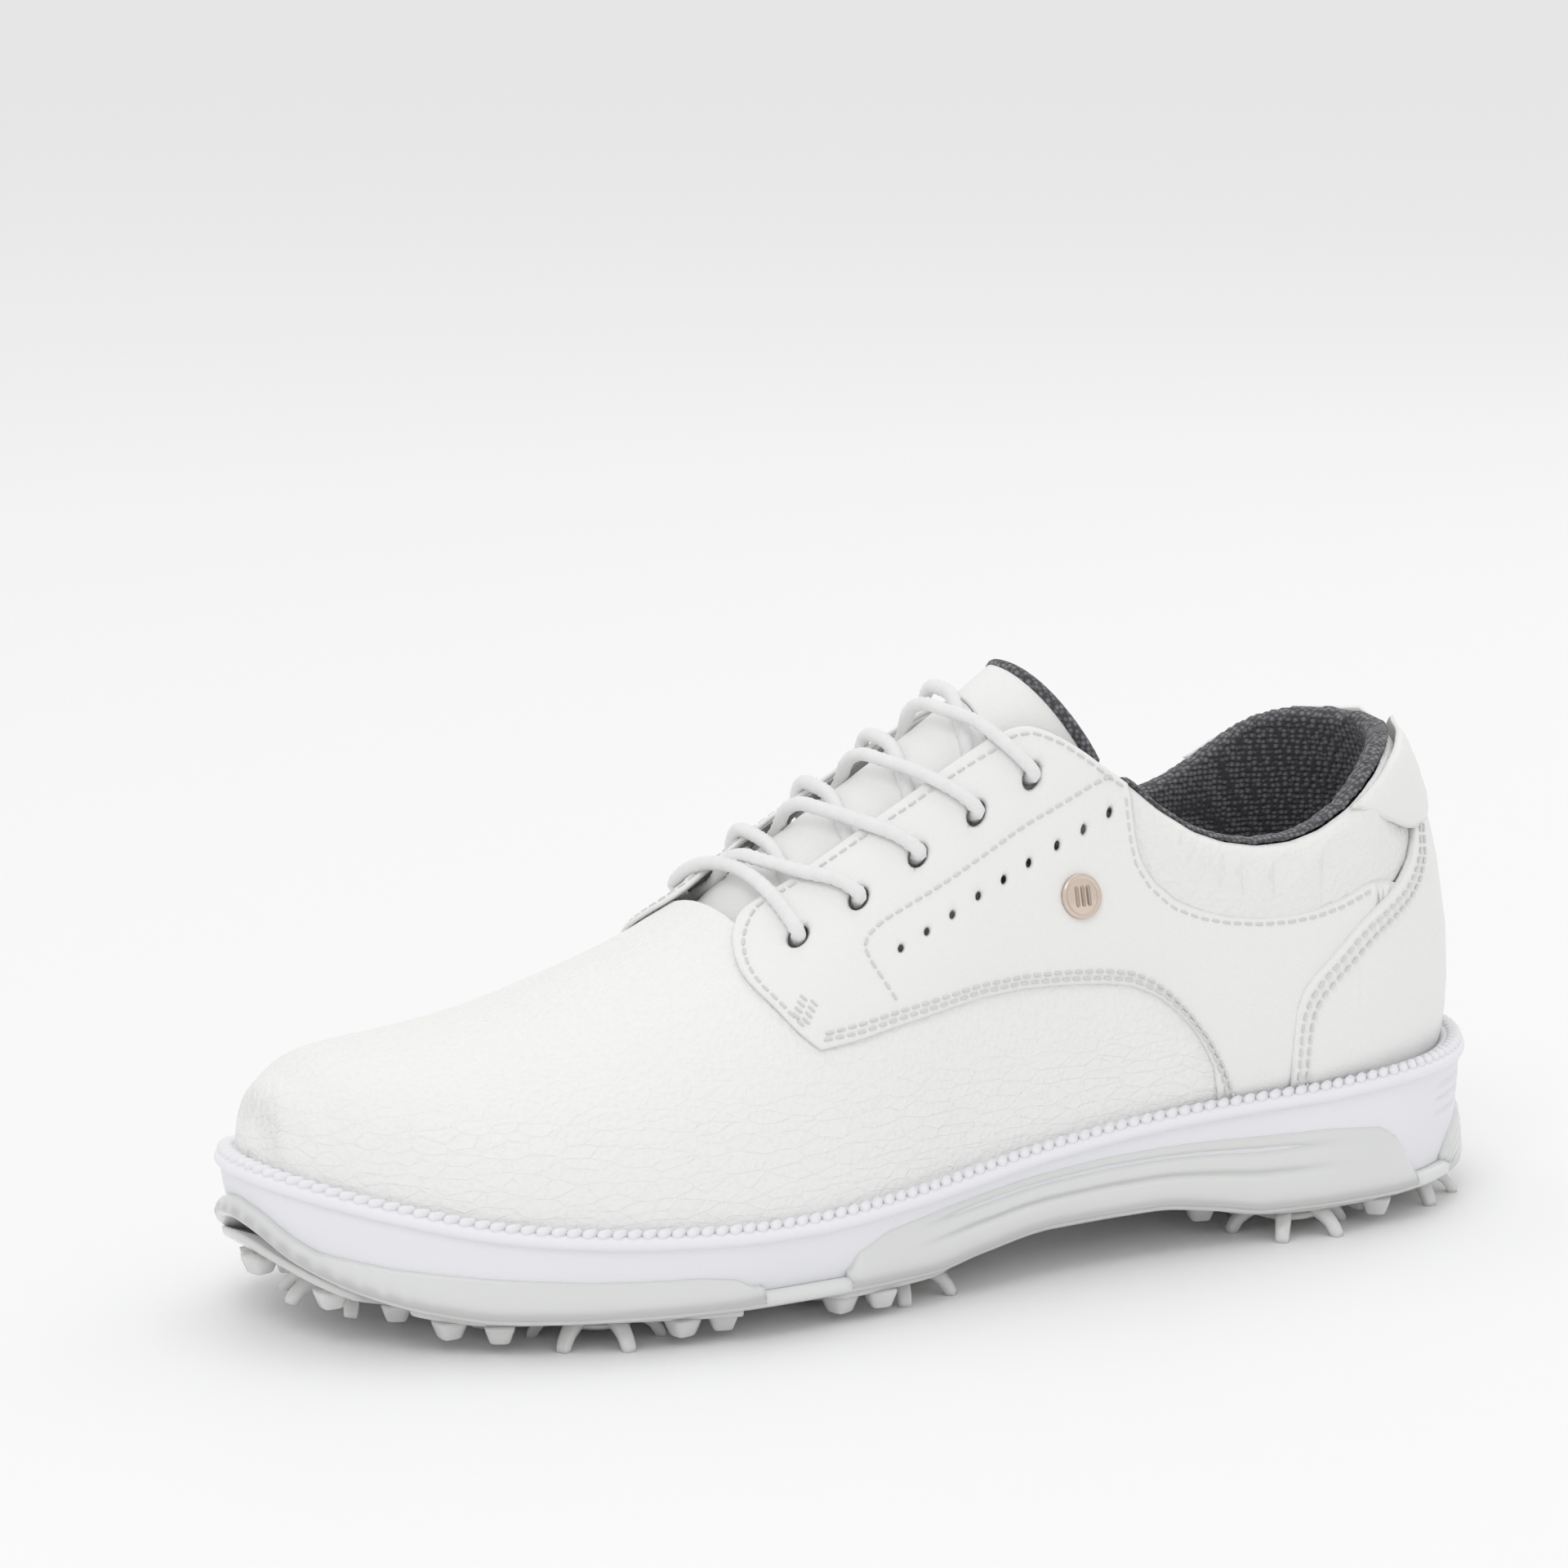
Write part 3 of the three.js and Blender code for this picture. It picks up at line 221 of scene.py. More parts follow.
# capsule stitches along a line
def capsule(L, r, seg=6, rings=3):
    v = []; f = []
    zs = []; 
    for k in range(rings): a = math.pi/2*(1-k/rings); zs.append((-L/2+r*(1-math.sin(a)), r*math.cos(a)))
    zs += [(-L/2+r, r), (L/2-r, r)]
    for k in range(1, rings+1): a = math.pi/2*k/rings; zs.append((L/2-r+r*math.sin(a), r*math.cos(a)))
    for z, rr in zs:
        for s in range(seg): v.append((z, max(rr, .01)*math.cos(2*math.pi*s/seg), max(rr, .01)*math.sin(2*math.pi*s/seg)))
    n = len(zs)
    for i in range(n-1):
        for s in range(seg): f.append((i*seg+s, i*seg+(s+1) % seg, (i+1)*seg+(s+1) % seg, (i+1)*seg+s))
    f.append(tuple(range(seg))[::-1]); f.append(tuple((n-1)*seg+s for s in range(seg)))
    return np.array(v), f
def instances(name, base, frames, mat):
    V = []; F = []; bv, bf = base
    for k, (c, x, y, z) in enumerate(frames):
        V.append(c+bv[:, :1]*x+bv[:, 1:2]*y+bv[:, 2:3]*z); F += [tuple(i+k*len(bv) for i in f) for f in bf]
    return mkobj(name, np.vstack(V), F, mat)
def stitch_frames(line, d, pitch=2.7, tilt=0.0):
    """line in (m, p*SC); returns frames lying on the surface"""
    q = resample(line, .5); u, p = un(q); P = off(u, p, np.full(len(u), d)); Q = off(u, p, np.full(len(u), d+1.0))
    L = np.r_[0, np.cumsum(np.linalg.norm(np.diff(P, axis=0), axis=1))]; out = []
    for s in np.arange(pitch/2, L[-1], pitch):
        g = lambda A, t: np.array([np.interp(t, L, A[:, k]) for k in range(3)])
        c = g(P, s); n = g(Q, s)-c; n /= np.linalg.norm(n); x = g(P, min(s+.6, L[-1]))-g(P, max(s-.6, 0)); x /= np.linalg.norm(x)+1e-9
        x = x-n*(x@n); x /= np.linalg.norm(x); y = np.cross(n, x)
        if tilt: x, y = x*math.cos(tilt)+y*math.sin(tilt), -x*math.sin(tilt)+y*math.cos(tilt)
        out.append((c, x, y, n))
    return out

# ------------------------------------------------------------------ materials
def new_mat(name):
    m = bpy.data.materials.new(name); m.use_nodes = True; nt = m.node_tree; b = nt.nodes['Principled BSDF']; return m, nt, b
def N(nt, kind, **kw):
    n = nt.nodes.new(kind)
    for k, v in kw.items():
        if k.startswith('i_'): n.inputs[k[2:].replace('_', ' ')].default_value = v
        else: setattr(n, k, v)
    return n
def coord(nt): return N(nt, 'ShaderNodeNewGeometry').outputs['Position'] if False else N(nt, 'ShaderNodeTexCoord').outputs['Object']
def leather(name, col, grain, depth, rough=.5, crease=False, dirt=.03):
    m, nt, b = new_mat(name); L = nt.links.new; co = coord(nt)
    vo = N(nt, 'ShaderNodeTexVoronoi', feature='SMOOTH_F1'); vo.inputs['Scale'].default_value = grain; vo.inputs['Smoothness'].default_value = .35
    wn = N(nt, 'ShaderNodeTexNoise'); wn.inputs['Scale'].default_value = grain*.35; wn.inputs['Detail'].default_value = 4
    mixv = N(nt, 'ShaderNodeVectorMath', operation='ADD'); sc = N(nt, 'ShaderNodeVectorMath', operation='SCALE'); sc.inputs['Scale'].default_value = .0016
    L(co, wn.inputs['Vector']); L(wn.outputs['Color'], sc.inputs[0]); L(co, mixv.inputs[0]); L(sc.outputs[0], mixv.inputs[1]); L(mixv.outputs[0], vo.inputs['Vector'])
    fine = N(nt, 'ShaderNodeTexNoise'); fine.inputs['Scale'].default_value = grain*2.4; fine.inputs['Detail'].default_value = 6; L(co, fine.inputs['Vector'])
    big = N(nt, 'ShaderNodeTexNoise'); big.inputs['Scale'].default_value = 28; big.inputs['Detail'].default_value = 3; L(co, big.inputs['Vector'])
    a = N(nt, 'ShaderNodeMath', operation='MULTIPLY_ADD'); a.inputs[1].default_value = .35; L(fine.outputs[0], a.inputs[0]); L(vo.outputs['Distance'], a.inputs[2])
    h = a.outputs[0]
    if crease:
        mp = N(nt, 'ShaderNodeMapping'); mp.inputs['Scale'].default_value = (90, 120, 230); L(co, mp.inputs['Vector'])
        cr = N(nt, 'ShaderNodeTexVoronoi', feature='DISTANCE_TO_EDGE'); cr.inputs['Scale'].default_value = 1.6; L(mp.outputs[0], cr.inputs['Vector'])
        rmp = N(nt, 'ShaderNodeMapRange'); rmp.inputs[1].default_value = 0; rmp.inputs[2].default_value = .05; rmp.inputs[3].default_value = -.3; rmp.inputs[4].default_value = 0; L(cr.outputs['Distance'], rmp.inputs[0])
        sp = N(nt, 'ShaderNodeSeparateXYZ'); L(co, sp.inputs[0])
        mk = N(nt, 'ShaderNodeMapRange'); mk.inputs[1].default_value = .062; mk.inputs[2].default_value = .045; mk.inputs[3].default_value = 0; mk.inputs[4].default_value = 1; L(sp.outputs['Z'], mk.inputs[0])
        mu = N(nt, 'ShaderNodeMath', operation='MULTIPLY'); L(rmp.outputs[0], mu.inputs[0]); L(mk.outputs[0], mu.inputs[1])
        ad = N(nt, 'ShaderNodeMath', operation='ADD'); L(h, ad.inputs[0]); L(mu.outputs[0], ad.inputs[1]); h = ad.outputs[0]
    bp = N(nt, 'ShaderNodeBump'); bp.inputs['Strength'].default_value = .55; bp.inputs['Distance'].default_value = depth; L(h, bp.inputs['Height']); L(bp.outputs[0], b.inputs['Normal'])
    cr2 = N(nt, 'ShaderNodeMix', data_type='RGBA'); cr2.inputs[6].default_value = (*[c*(1-dirt) for c in col], 1); cr2.inputs[7].default_value = (*col, 1); L(big.outputs[0], cr2.inputs[0]); L(cr2.outputs[2], b.inputs['Base Color'])
    rr = N(nt, 'ShaderNodeMapRange'); rr.inputs[3].default_value = rough-.07; rr.inputs[4].default_value = rough+.08; L(fine.outputs[0], rr.inputs[0]); L(rr.outputs[0], b.inputs['Roughness'])
    b.inputs['Subsurface Weight'].default_value = .05; b.inputs['Subsurface Radius'].default_value = (.003, .0025, .002); b.inputs['Subsurface Scale'].default_value = .3
    b.inputs['Specular IOR Level'].default_value = .4
    return m
def simple(name, col, rough=.5, metal=0, bump=0, scale=400, trans=0, sss=0, ior=1.45, coat=0, vary=.03, alpha=1):
    m, nt, b = new_mat(name); L = nt.links.new; co = coord(nt)
    n1 = N(nt, 'ShaderNodeTexNoise'); n1.inputs['Scale'].default_value = scale; n1.inputs['Detail'].default_value = 5; L(co, n1.inputs['Vector'])
    n2 = N(nt, 'ShaderNodeTexNoise'); n2.inputs['Scale'].default_value = 30; L(co, n2.inputs['Vector'])
    mx = N(nt, 'ShaderNodeMix', data_type='RGBA'); mx.inputs[6].default_value = (*[c*(1-vary) for c in col], 1); mx.inputs[7].default_value = (*col, 1); L(n2.outputs[0], mx.inputs[0]); L(mx.outputs[2], b.inputs['Base Color'])
    rr = N(nt, 'ShaderNodeMapRange'); rr.inputs[3].default_value = max(rough-.06, 0); rr.inputs[4].default_value = rough+.06; L(n1.outputs[0], rr.inputs[0]); L(rr.outputs[0], b.inputs['Roughness'])
    b.inputs['Metallic'].default_value = metal; b.inputs['Transmission Weight'].default_value = trans; b.inputs['IOR'].default_value = ior; b.inputs['Coat Weight'].default_value = coat
    if sss: b.inputs['Subsurface Weight'].default_value = sss; b.inputs['Subsurface Radius'].default_value = (.006, .006, .006); b.inputs['Subsurface Scale'].default_value = .5
    if alpha < 1: b.inputs['Alpha'].default_value = alpha
    if bump:
        bp = N(nt, 'ShaderNodeBump'); bp.inputs['Strength'].default_value = .4; bp.inputs['Distance'].default_value = bump; L(n1.outputs[0], bp.inputs['Height']); L(bp.outputs[0], b.inputs['Normal'])
    return m
def meshcloth(name, c0, c1, sx=520):
    """knit mesh: rows of small dark holes between rounded yarns"""
    m, nt, b = new_mat(name); L = nt.links.new; co = coord(nt)
    vo = N(nt, 'ShaderNodeTexVoronoi', feature='F1'); vo.inputs['Scale'].default_value = sx; vo.inputs['Randomness'].default_value = .35; L(co, vo.inputs['Vector'])
    nz = N(nt, 'ShaderNodeTexNoise'); nz.inputs['Scale'].default_value = 1800; nz.inputs['Detail'].default_value = 3; L(co, nz.inputs['Vector'])
    mr = N(nt, 'ShaderNodeMapRange'); mr.inputs[1].default_value = .25; mr.inputs[2].default_value = .62; L(vo.outputs['Distance'], mr.inputs[0])
    mx = N(nt, 'ShaderNodeMix', data_type='RGBA'); mx.inputs[6].default_value = (*c0, 1); mx.inputs[7].default_value = (*c1, 1); L(mr.outputs[0], mx.inputs[0]); L(mx.outputs[2], b.inputs['Base Color'])
    ad = N(nt, 'ShaderNodeMath', operation='MULTIPLY_ADD'); ad.inputs[1].default_value = .25; L(nz.outputs[0], ad.inputs[0]); L(mr.outputs[0], ad.inputs[2])
    bp = N(nt, 'ShaderNodeBump'); bp.inputs['Strength'].default_value = .9; bp.inputs['Distance'].default_value = .0007; L(ad.outputs[0], bp.inputs['Height']); L(bp.outputs[0], b.inputs['Normal'])
    b.inputs['Roughness'].default_value = .92; b.inputs['Sheen Weight'].default_value = .25; b.inputs['Sheen Roughness'].default_value = .5
    return m
M_TUM = leather('tumbled_leather', (.90, .90, .885), 720, .0005, .5, crease=True)
M_COL = leather('collar_leather', (.87, .87, .855), 720, .0005, .5)
M_SMO = leather('smooth_leather', (.88, .88, .868), 1500, .00012, .46)
M_THR = simple('thread', (.72, .72, .71), .6, bump=.0002, scale=3000)
M_KNIT = meshcloth('grey_mesh', (.22, .22, .235), (.06, .06, .068), 760)
M_EVA = simple('eva_foam', (.86, .86, .895), .55, bump=.00012, scale=900, sss=.08)
M_WELT = simple('welt_rubber', (.87, .87, .90), .5, bump=.0001, scale=700, sss=.06)
M_TPU = simple('milky_tpu', (.85, .862, .85), .22, trans=.12, sss=.3, ior=1.5, bump=.00006, scale=500)
M_NUB = simple('clear_tpu', (.95, .955, .945), .14, trans=.28, sss=.3, ior=1.5, bump=.00004, scale=400)
M_WIN = simple('window_tpu', (.93, .935, .92), .3, trans=.25, sss=.2, ior=1.5)
M_SILV = simple('silver_hub', (.50, .50, .52), .32, metal=.3, bump=.0001, scale=900)
M_MILK = simple('milky_hub', (.70, .70, .68), .35, trans=.2, sss=.2)
M_BADGE = simple('badge_metal', (.74, .62, .54), .24, metal=1, bump=.00003, scale=2500)
M_BADGE2 = simple('badge_dark', (.50, .42, .37), .45, metal=1, bump=.00005, scale=2500)
M_LACE = simple('lace_yarn', (.86, .86, .86), .85, bump=.0003, scale=2500)
M_INS = meshcloth('insole_cloth', (.05, .05, .055), (.20, .20, .21), 700)
M_NYL = simple('nylon', (.30, .31, .33), .5)

# ------------------------------------------------------------------ camera, light, floor (made first)
AZ, EL, D, F = -30.02, 11.4, 1.300, 7361.2
a, e = math.radians(AZ), math.radians(EL)
back = Vector((math.sin(a)*math.cos(e), -math.cos(a)*math.cos(e), math.sin(e))); right = Vector((math.cos(a), math.sin(a), 0))
tgt = right*(-.02019)+Vector((0, 0, .10379))+Vector((-.00025, -.00295, 0))
cam = bpy.data.objects.new('cam', bpy.data.cameras.new('cam')); coll.objects.link(cam); cam.location = tgt+back*D
cam.rotation_euler = back.to_track_quat('Z', 'Y').to_euler(); cam.data.sensor_width = 36; cam.data.lens = F/1920*36; cam.data.clip_start = .01; cam.data.clip_end = 50
bpy.context.scene.camera = cam
def area(name, loc, size, power, aim=(0, 0, .05)):
    l = bpy.data.lights.new(name, 'AREA'); l.shape = 'RECTANGLE'; l.size, l.size_y = size; l.energy = power; o = bpy.data.objects.new(name, l); coll.objects.link(o); o.location = loc
    o.rotation_euler = (Vector(loc)-Vector(aim)).to_track_quat('Z', 'Y').to_euler(); return o
area('key', (-.9, -.9, 1.7), (.8, .8), 5.5); area('top', (.3, .6, 1.8), (1.4, 1.0), 3.5); area('rim', (1.2, .5, .9), (.7, .7), 1.0)
w = bpy.data.worlds.new('w'); w.use_nodes = True; w.node_tree.nodes['Background'].inputs[0].default_value = (1, 1, 1, 1); w.node_tree.nodes['Background'].inputs[1].default_value = .84; bpy.context.scene.world = w
fl = mkobj('floor', [(-4000, -4000, 0), (4000, -4000, 0), (4000, 4000, 0), (-4000, 4000, 0)], [(0, 1, 2, 3)], simple('floor_white', (.93, .93, .93), .6, vary=.0), smooth=False)
bpy.context.scene.view_settings.view_transform = 'Standard'

ROOT = []
def put(o, slot=None, *nodes, body='root'):
    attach(o, body)
    if nodes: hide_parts(*nodes)
    return o

# ------------------------------------------------------------------ upper panels
qLow = [(187.9,57.3),(178.7,58.4),(168.2,60.2),(157.2,61.7),(146.5,63.2),(135.5,63.6),(124.9,63.1),(114.4,62.1),(108.2,61.1),(104.2,59.5),(100.3,57.4),(96.4,54.1),(92.1,49.6),(89.4,45.3),(86.9,40.1),(85.5,35.3),(84.4,30.9)]
qRear = [(69.4,32.1),(69.1,37.3),(68.6,41.5),(68.4,47.6),(67.8,51.3),(66.9,54.7),(65.0,57.2),(62.9,59.6),(59.3,62.0),(54.9,65.5),(50.1,69.1),(45.1,72.0),(40.5,74.0),(37.2,76.3)]
qTop = [(46.4,76.9),(53.7,74.6),(60.6,73.3),(67.1,72.7),(74.9,72.7),(82.8,73.8),(88.7,75.5),(94.9,78.2),(99.7,82.6),(102.2,86.8),(103.0,91.5),(103.0,96.8),(102.9,103.4),(108.6,107.8),(112,110.7),(116.7,114.0),(119.6,115.5),(122.6,116.6),(126,116.3),(130.9,114.3)]
qFront = [(187.2,83.6),(191.2,80.9),(194.5,77.9),(196.3,75.5),(197.8,72.2),(197.1,69.2),(195.2,66.6),(193.4,63.5),(191.2,60.3),(187.9,57.3)]
throatY = [(131,-15.0),(140,-14.4),(156,-13.8),(170,-13.6),(179,-12.9),(187.2,-11.3)]
EYE = [(184.2,.3165),(169.7,.3028),(154.5,.2968),(139.6,.2882),(125.3,.2738)]
PERF = [(164.4,75.1),(157.5,77.8),(150.7,80.6),(143.8,83.8),(137.0,86.5),(130.2,89.3),(122.6,92.2),(115.5,94.9),(108.6,97.9)]
def quarter_poly():
    return np.vstack([mz(qLow), ab(*inv_mz([69.4], [32.1]))*[1, 0], mz([(a_-1.8, b_-(1.2 if b_ > 55 else 0)) for a_, b_ in qRear])[1:], mz(qTop), my(throatY), mz(qFront, it=1)[1:-1]])
qp = quarter_poly(); qp[:, 1] = np.where(qp[:, 1] < .6, 0, qp[:, 1])
# stitch lines (m, z)
S_front = [(190.5,-99)]
sA = [(186.5,60.2),(178.3,61.3),(168.0,63.0),(157.0,64.4),(146.4,65.9),(135.5,66.3),(124.8,65.9),(114.2,65.0),(106.8,63.6),(102.0,61.2),(98.0,58.2),(93.6,53.6),(88.6,47.2),(85.2,41.0),(83.3,36.0),(82.3,32.6)]
sB = [(187.2,59.0),(178.5,59.8),(168.1,61.6),(157.1,63.0),(146.4,64.5),(135.5,64.9),(124.9,64.4),(114.3,63.5),(107.6,62.3),(103.2,60.3),(99.2,57.8),(95.0,53.9),(90.3,48.4),(87.2,43.0),(84.9,37.8),(83.9,33.0)]
sFr = [(188.2,82.0),(191.4,79.2),(194.2,76.2),(195.9,72.4),(195.4,69.4),(193.6,66.9),(191.8,63.8),(189.6,61.0)]
sInner = [(168.2,64.9),(170.1,68.9),(171.6,72.1),(172.3,74.6),(172.3,76.1),(171.2,77.6),(166.7,80.4),(162.1,82.2),(151.8,86.3),(140.8,91.5),(130.2,96.6),(119.6,100.6),(111.1,104.2),(105.8,105.9)]
sThroat = [(131,-17.0),(140,-16.4),(156,-15.8),(170,-15.6),(179,-14.9),(188.0,-13.2)]
sTopEdge = [(104.4,102.8),(109,106.4),(112.4,109.2),(117,112.6),(119.9,114.0),(122.6,114.9),(126,114.6),(130.0,113.0)]
bartack = [[(191.6,63.2),(187.6,67.8)],[(189.9,62.2),(185.9,66.8)]]
quarters = []
for side, nm in ((-1, 'quarter_lateral'), (1, 'quarter_medial')):
    T = (lambda x: x) if side < 0 else mir
    holes = [((m, p*SC if side < 0 else SC-p*SC), 2.45, 14) for m, p in EYE]
    for c in mz(PERF, side)[:0]: pass
    pu, pp = inv_mz([q[0] for q in PERF], [q[1] for q in PERF], side)
    holes += [((q[0], q[1]), .72, 8) for q in ab(pu, pp)]
    lines = [T(mz(sA)), T(mz(sB)), T(mz(sFr, it=1)), T(mz(sInner, it=1)), T(my(sThroat)), T(mz(sTopEdge))]
    o = panel(nm+'_leather', T(qp), M_SMO, 1.65, 1.3, 2.0, holes, grooves=[(l, .22, 1.1) for l in lines])
    put(o, 'smooth_leather', nm)
    fr = []
    for l in lines: fr += stitch_frames(l, 1.62, 2.7)
    for b in bartack: fr += stitch_frames(T(mz(b)), 1.66, 1.5, 1.2)
    st = instances('stitches_'+nm, capsule(2.0, .34), fr, M_THR); put(st, 'smooth_leather')

# vamp: over the toe, under the quarters
def bowl(m, p): return 0*m
vr = [(78.5,30.5),(79,36),(83,44),(90,53),(98,61),(108,67.5),(124,69),(146,69.5),(168,66),(182,66)]
latv = mz(vr); latv[0, 1] = 0
up = ab(*inv_mz([189], [74])); 
thr = np.array([[190.6, .3165*SC+0], [192.4, .42*SC], [192.8, .5*SC]])
half = np.vstack([latv, up, thr]); fullrear = np.vstack([half, mir(half[:-1])[::-1]])
bottom = np.array([[295.8, SC], [295.8, 0]])
edge_toe = np.stack([np.interp(np.linspace(1, 0, 3), [0, 1], [0, SC])*0+295.8, np.linspace(SC, 0, 3)], -1)
vp = np.vstack([fullrear, resample(np.array([[78.5, SC], [295.8, SC]]), 2), resample(np.array([[295.8, SC], [295.8, 0]]), 3), resample(np.array([[295.8, 0], [78.5, 0]]), 2)[:-1]])
o = panel('vamp_leather', vp, M_TUM, .15, 1.2, 2.3, roll=.5, noroll=np.array([[295.8, SC], [295.8, 0]])); put(o, 'tumbled_leather', 'vamp')

# heel: each half panel meets the other on the heel line
def heel_pair(name, latpoly, mat, d, t, slot, nodes, **kw):
    a_ = panel(name+'_a', latpoly, mat, d, t, noroll=np.array([[7.6, 0], [7.6, SC/2]]), **kw)
    b_ = panel(name+'_b', mir(latpoly), mat, d, t, noroll=np.array([[7.6, SC], [7.6, SC/2]]), **kw)
    o = join([a_, b_], name); merge(o, .00005); put(o, slot, *nodes); return o
def pz(z): return inv_mz([7.6], [z])[1][0]*SC
def heelz(z): # p on the heel line for height z
    p = np.linspace(0, .5, 4000); zz = last(np.zeros_like(p), p)[:, 2]; return np.interp(z, zz, p)*SC
cc = [(68.9,31.9),(68.7,37.3),(68.1,41.5),(68.0,47.6),(67.4,51.3),(66.5,54.5),(64.6,56.8),(62.5,59.2),(59.0,61.5),(54.6,65.0),(49.8,68.6),(44.8,71.5),(40.2,73.5),(35.4,76.2),(30.5,80.0),(28.4,83.2),(27.1,87.4)]
cl = mz(cc); cl[0, 1] = 0
top = resample(np.array([cl[-1], [7.6, heelz(87.4)]]), 2)[1:]
poly = np.vstack([cl, top, resample(np.array([[7.6, heelz(87.4)], [7.6, 0]]), 2)[1:], resample(np.array([[7.6, 0], [68.9, 0]]), 2)[1:-1]])
cA = mz([(66.9,33),(66.7,40),(66.3,47),(65.3,51.3),(63.6,54.6),(60.2,58),(56,61),(51.6,64.4),(46.6,67.8),(41,70.4),(35.5,73),(30.3,76.6),(26.8,80.6),(25.4,86)])
cB = mz([(64.9,33),(64.7,40),(64.2,46.6),(63.2,50.6),(61.4,53.8),(57.6,57),(53.4,60),(49,63.3),(44.2,66.4),(38.6,69),(33.4,71.6),(28.4,75.2),(25,79.2),(23.6,85.4)])
heel_pair('counter_cover_leather', poly, M_SMO, 2.5, 1.6, 'smooth_leather', ['heel_counter_cover'], grooves=[(cA, .22, 1.1), (cB, .22, 1.1), (mir(cA), .22, 1.1), (mir(cB), .22, 1.1)])
fr = []
for l in (cA, cB): fr += stitch_frames(l, 2.47)+stitch_frames(mir(l), 2.47)
put(instances('stitches_counter', capsule(2.0, .34), fr, M_THR), 'smooth_leather')
cz = lambda m: np.interp(m, [c[0] for c in COLLAR], [c[1] for c in COLLAR])
tab_low = [(50,94.0),(47.7,93.4),(42.5,91.0),(36.6,88.4),(32.7,86.6),(28,85.6)]
tl = mz(tab_low); tl2 = resample(np.array([tl[-1], [7.6, heelz(85.2)]]), 2)[1:]
ctop = mz([(22,105.5),(28,104.8),(35,102.5),(42,98.5),(49.5,94.2)]); 
poly = np.vstack([tl, tl2, resample(np.array([[7.6, heelz(85.2)], [7.6, heelz(105.4)]]), 2)[1:], ctop])
heel_pair('heel_tab_leather', poly, M_SMO, 3.3, .8, 'smooth_leather', ['heel_tab'], roll=1.2, puff=.8, puffw=6)

# padded collar panels
colLow = [(103.9,104.5),(103.9,96),(103.9,86),(101,79),(95.5,74),(89,71),(80,69),(68,67),(56,67.5),(46,69.5),(38,73),(31,77),(24,80)]
cl = mz(colLow); cl2 = resample(np.array([cl[-1], [7.6, heelz(80.5)]]), 2)[1:]
ct = mz([(21.5,105.2)]+[(m_, z_) for m_, z_ in COLLAR][1:]+[(103.9,104.8)])
poly = np.vstack([cl, cl2, resample(np.array([[7.6, heelz(80.5)], [7.6, heelz(105.0)]]), 2)[1:], ct])
def colpuff(m, p):
    u = np.interp(m, _mt, _ut); q = last(u, np.minimum(p, 1-p)); zc = cz(q[..., 0]); t = (zc-q[..., 2])
    return 3.0*np.exp(-((t-7)/7.5)**2)*sm(20, 44, q[..., 0])*(1-sm(92, 103, q[..., 0]))
o = heel_pair('collar_panels_leather', poly, M_COL, .3, 1.3, 'tumbled_leather', ['collar_panel_lateral', 'collar_panel_medial'], roll=1.4, dfun=colpuff)
fr = []
sc_ = mz([(104.4,101),(104.6,96),(104.6,91),(104,86.2),(101.4,81.6),(96.2,76.6),(89.4,73.7),(83,72.2),(75,71.2),(67,71.1),(60.3,71.7),(53.3,73),(46,75.2)])
fr = stitch_frames(sc_, 1.62)+stitch_frames(mir(sc_), 1.62)
put(instances('stitches_collar', capsule(2.0, .34), fr, M_THR), 'smooth_leather')

# ------------------------------------------------------------------ collar lining, rolled over the top line
def lining():
    V = []; F_ = []; cols = []
    ms = np.r_[np.linspace(103.4, 60, 40), np.linspace(59, 7.6, 60)]
    # along the top line: lateral front -> heel -> medial front
    A = []
    for m in ms:
        u = float(np.interp(m, _mt, _ut)); 
        A.append(u)
    path = [(u, -1) for u in A]+[(u, 1) for u in A[::-1][1:]]
    prof = []
    for k in range(9): t = math.pi*k/8; prof.append((-2.4+2.3*math.cos(t), 1.2*math.sin(t)+.2))     # binding over the top
    for k in range(1, 26): prof.append((-4.7-1.6*math.sin(min(k/10, 1)*math.pi/2), .2-2.6*k))
    P = []
    for u, s in path:
        p = np.linspace(.001, .5, 900); q = last(np.full_like(p, u), p); mm = q[:, 0]; zz = q[:, 2]
        zc = cz(mm); i = np.argmax(zz > zc); ptop = p[i]; ztop = zz[i]
        row = []
        for d_, dz in prof:
            pz_ = np.interp(max(min(ztop+dz, 135), zw(mm[0])+5.5), zz, p); extra = max(ztop+dz-np.interp(pz_, p, zz), 0)
            pt = off(np.array([u]), np.array([pz_ if s < 0 else 1-pz_]), np.array([d_]))[0]; row.append(pt)
        P.append(row)
    P = np.array(P); n, k = P.shape[:2]; idx = np.arange(n*k).reshape(n, k)
    for i in range(n-1):
        for j in range(k-1): F_.append((idx[i, j], idx[i, j+1], idx[i+1, j+1], idx[i+1, j]))
    return mkobj('collar_mesh_lining', P.reshape(-1, 3), F_, M_KNIT)
o = lining(); recalc(o)
md = o.modifiers.new('s', 'SOLIDIFY'); md.thickness = .0008; md.offset = 0; apply(o); o.data.polygons.foreach_set("use_smooth", [True]*len(o.data.polygons))
put(o, 'mesh_lining', 'collar_lining')

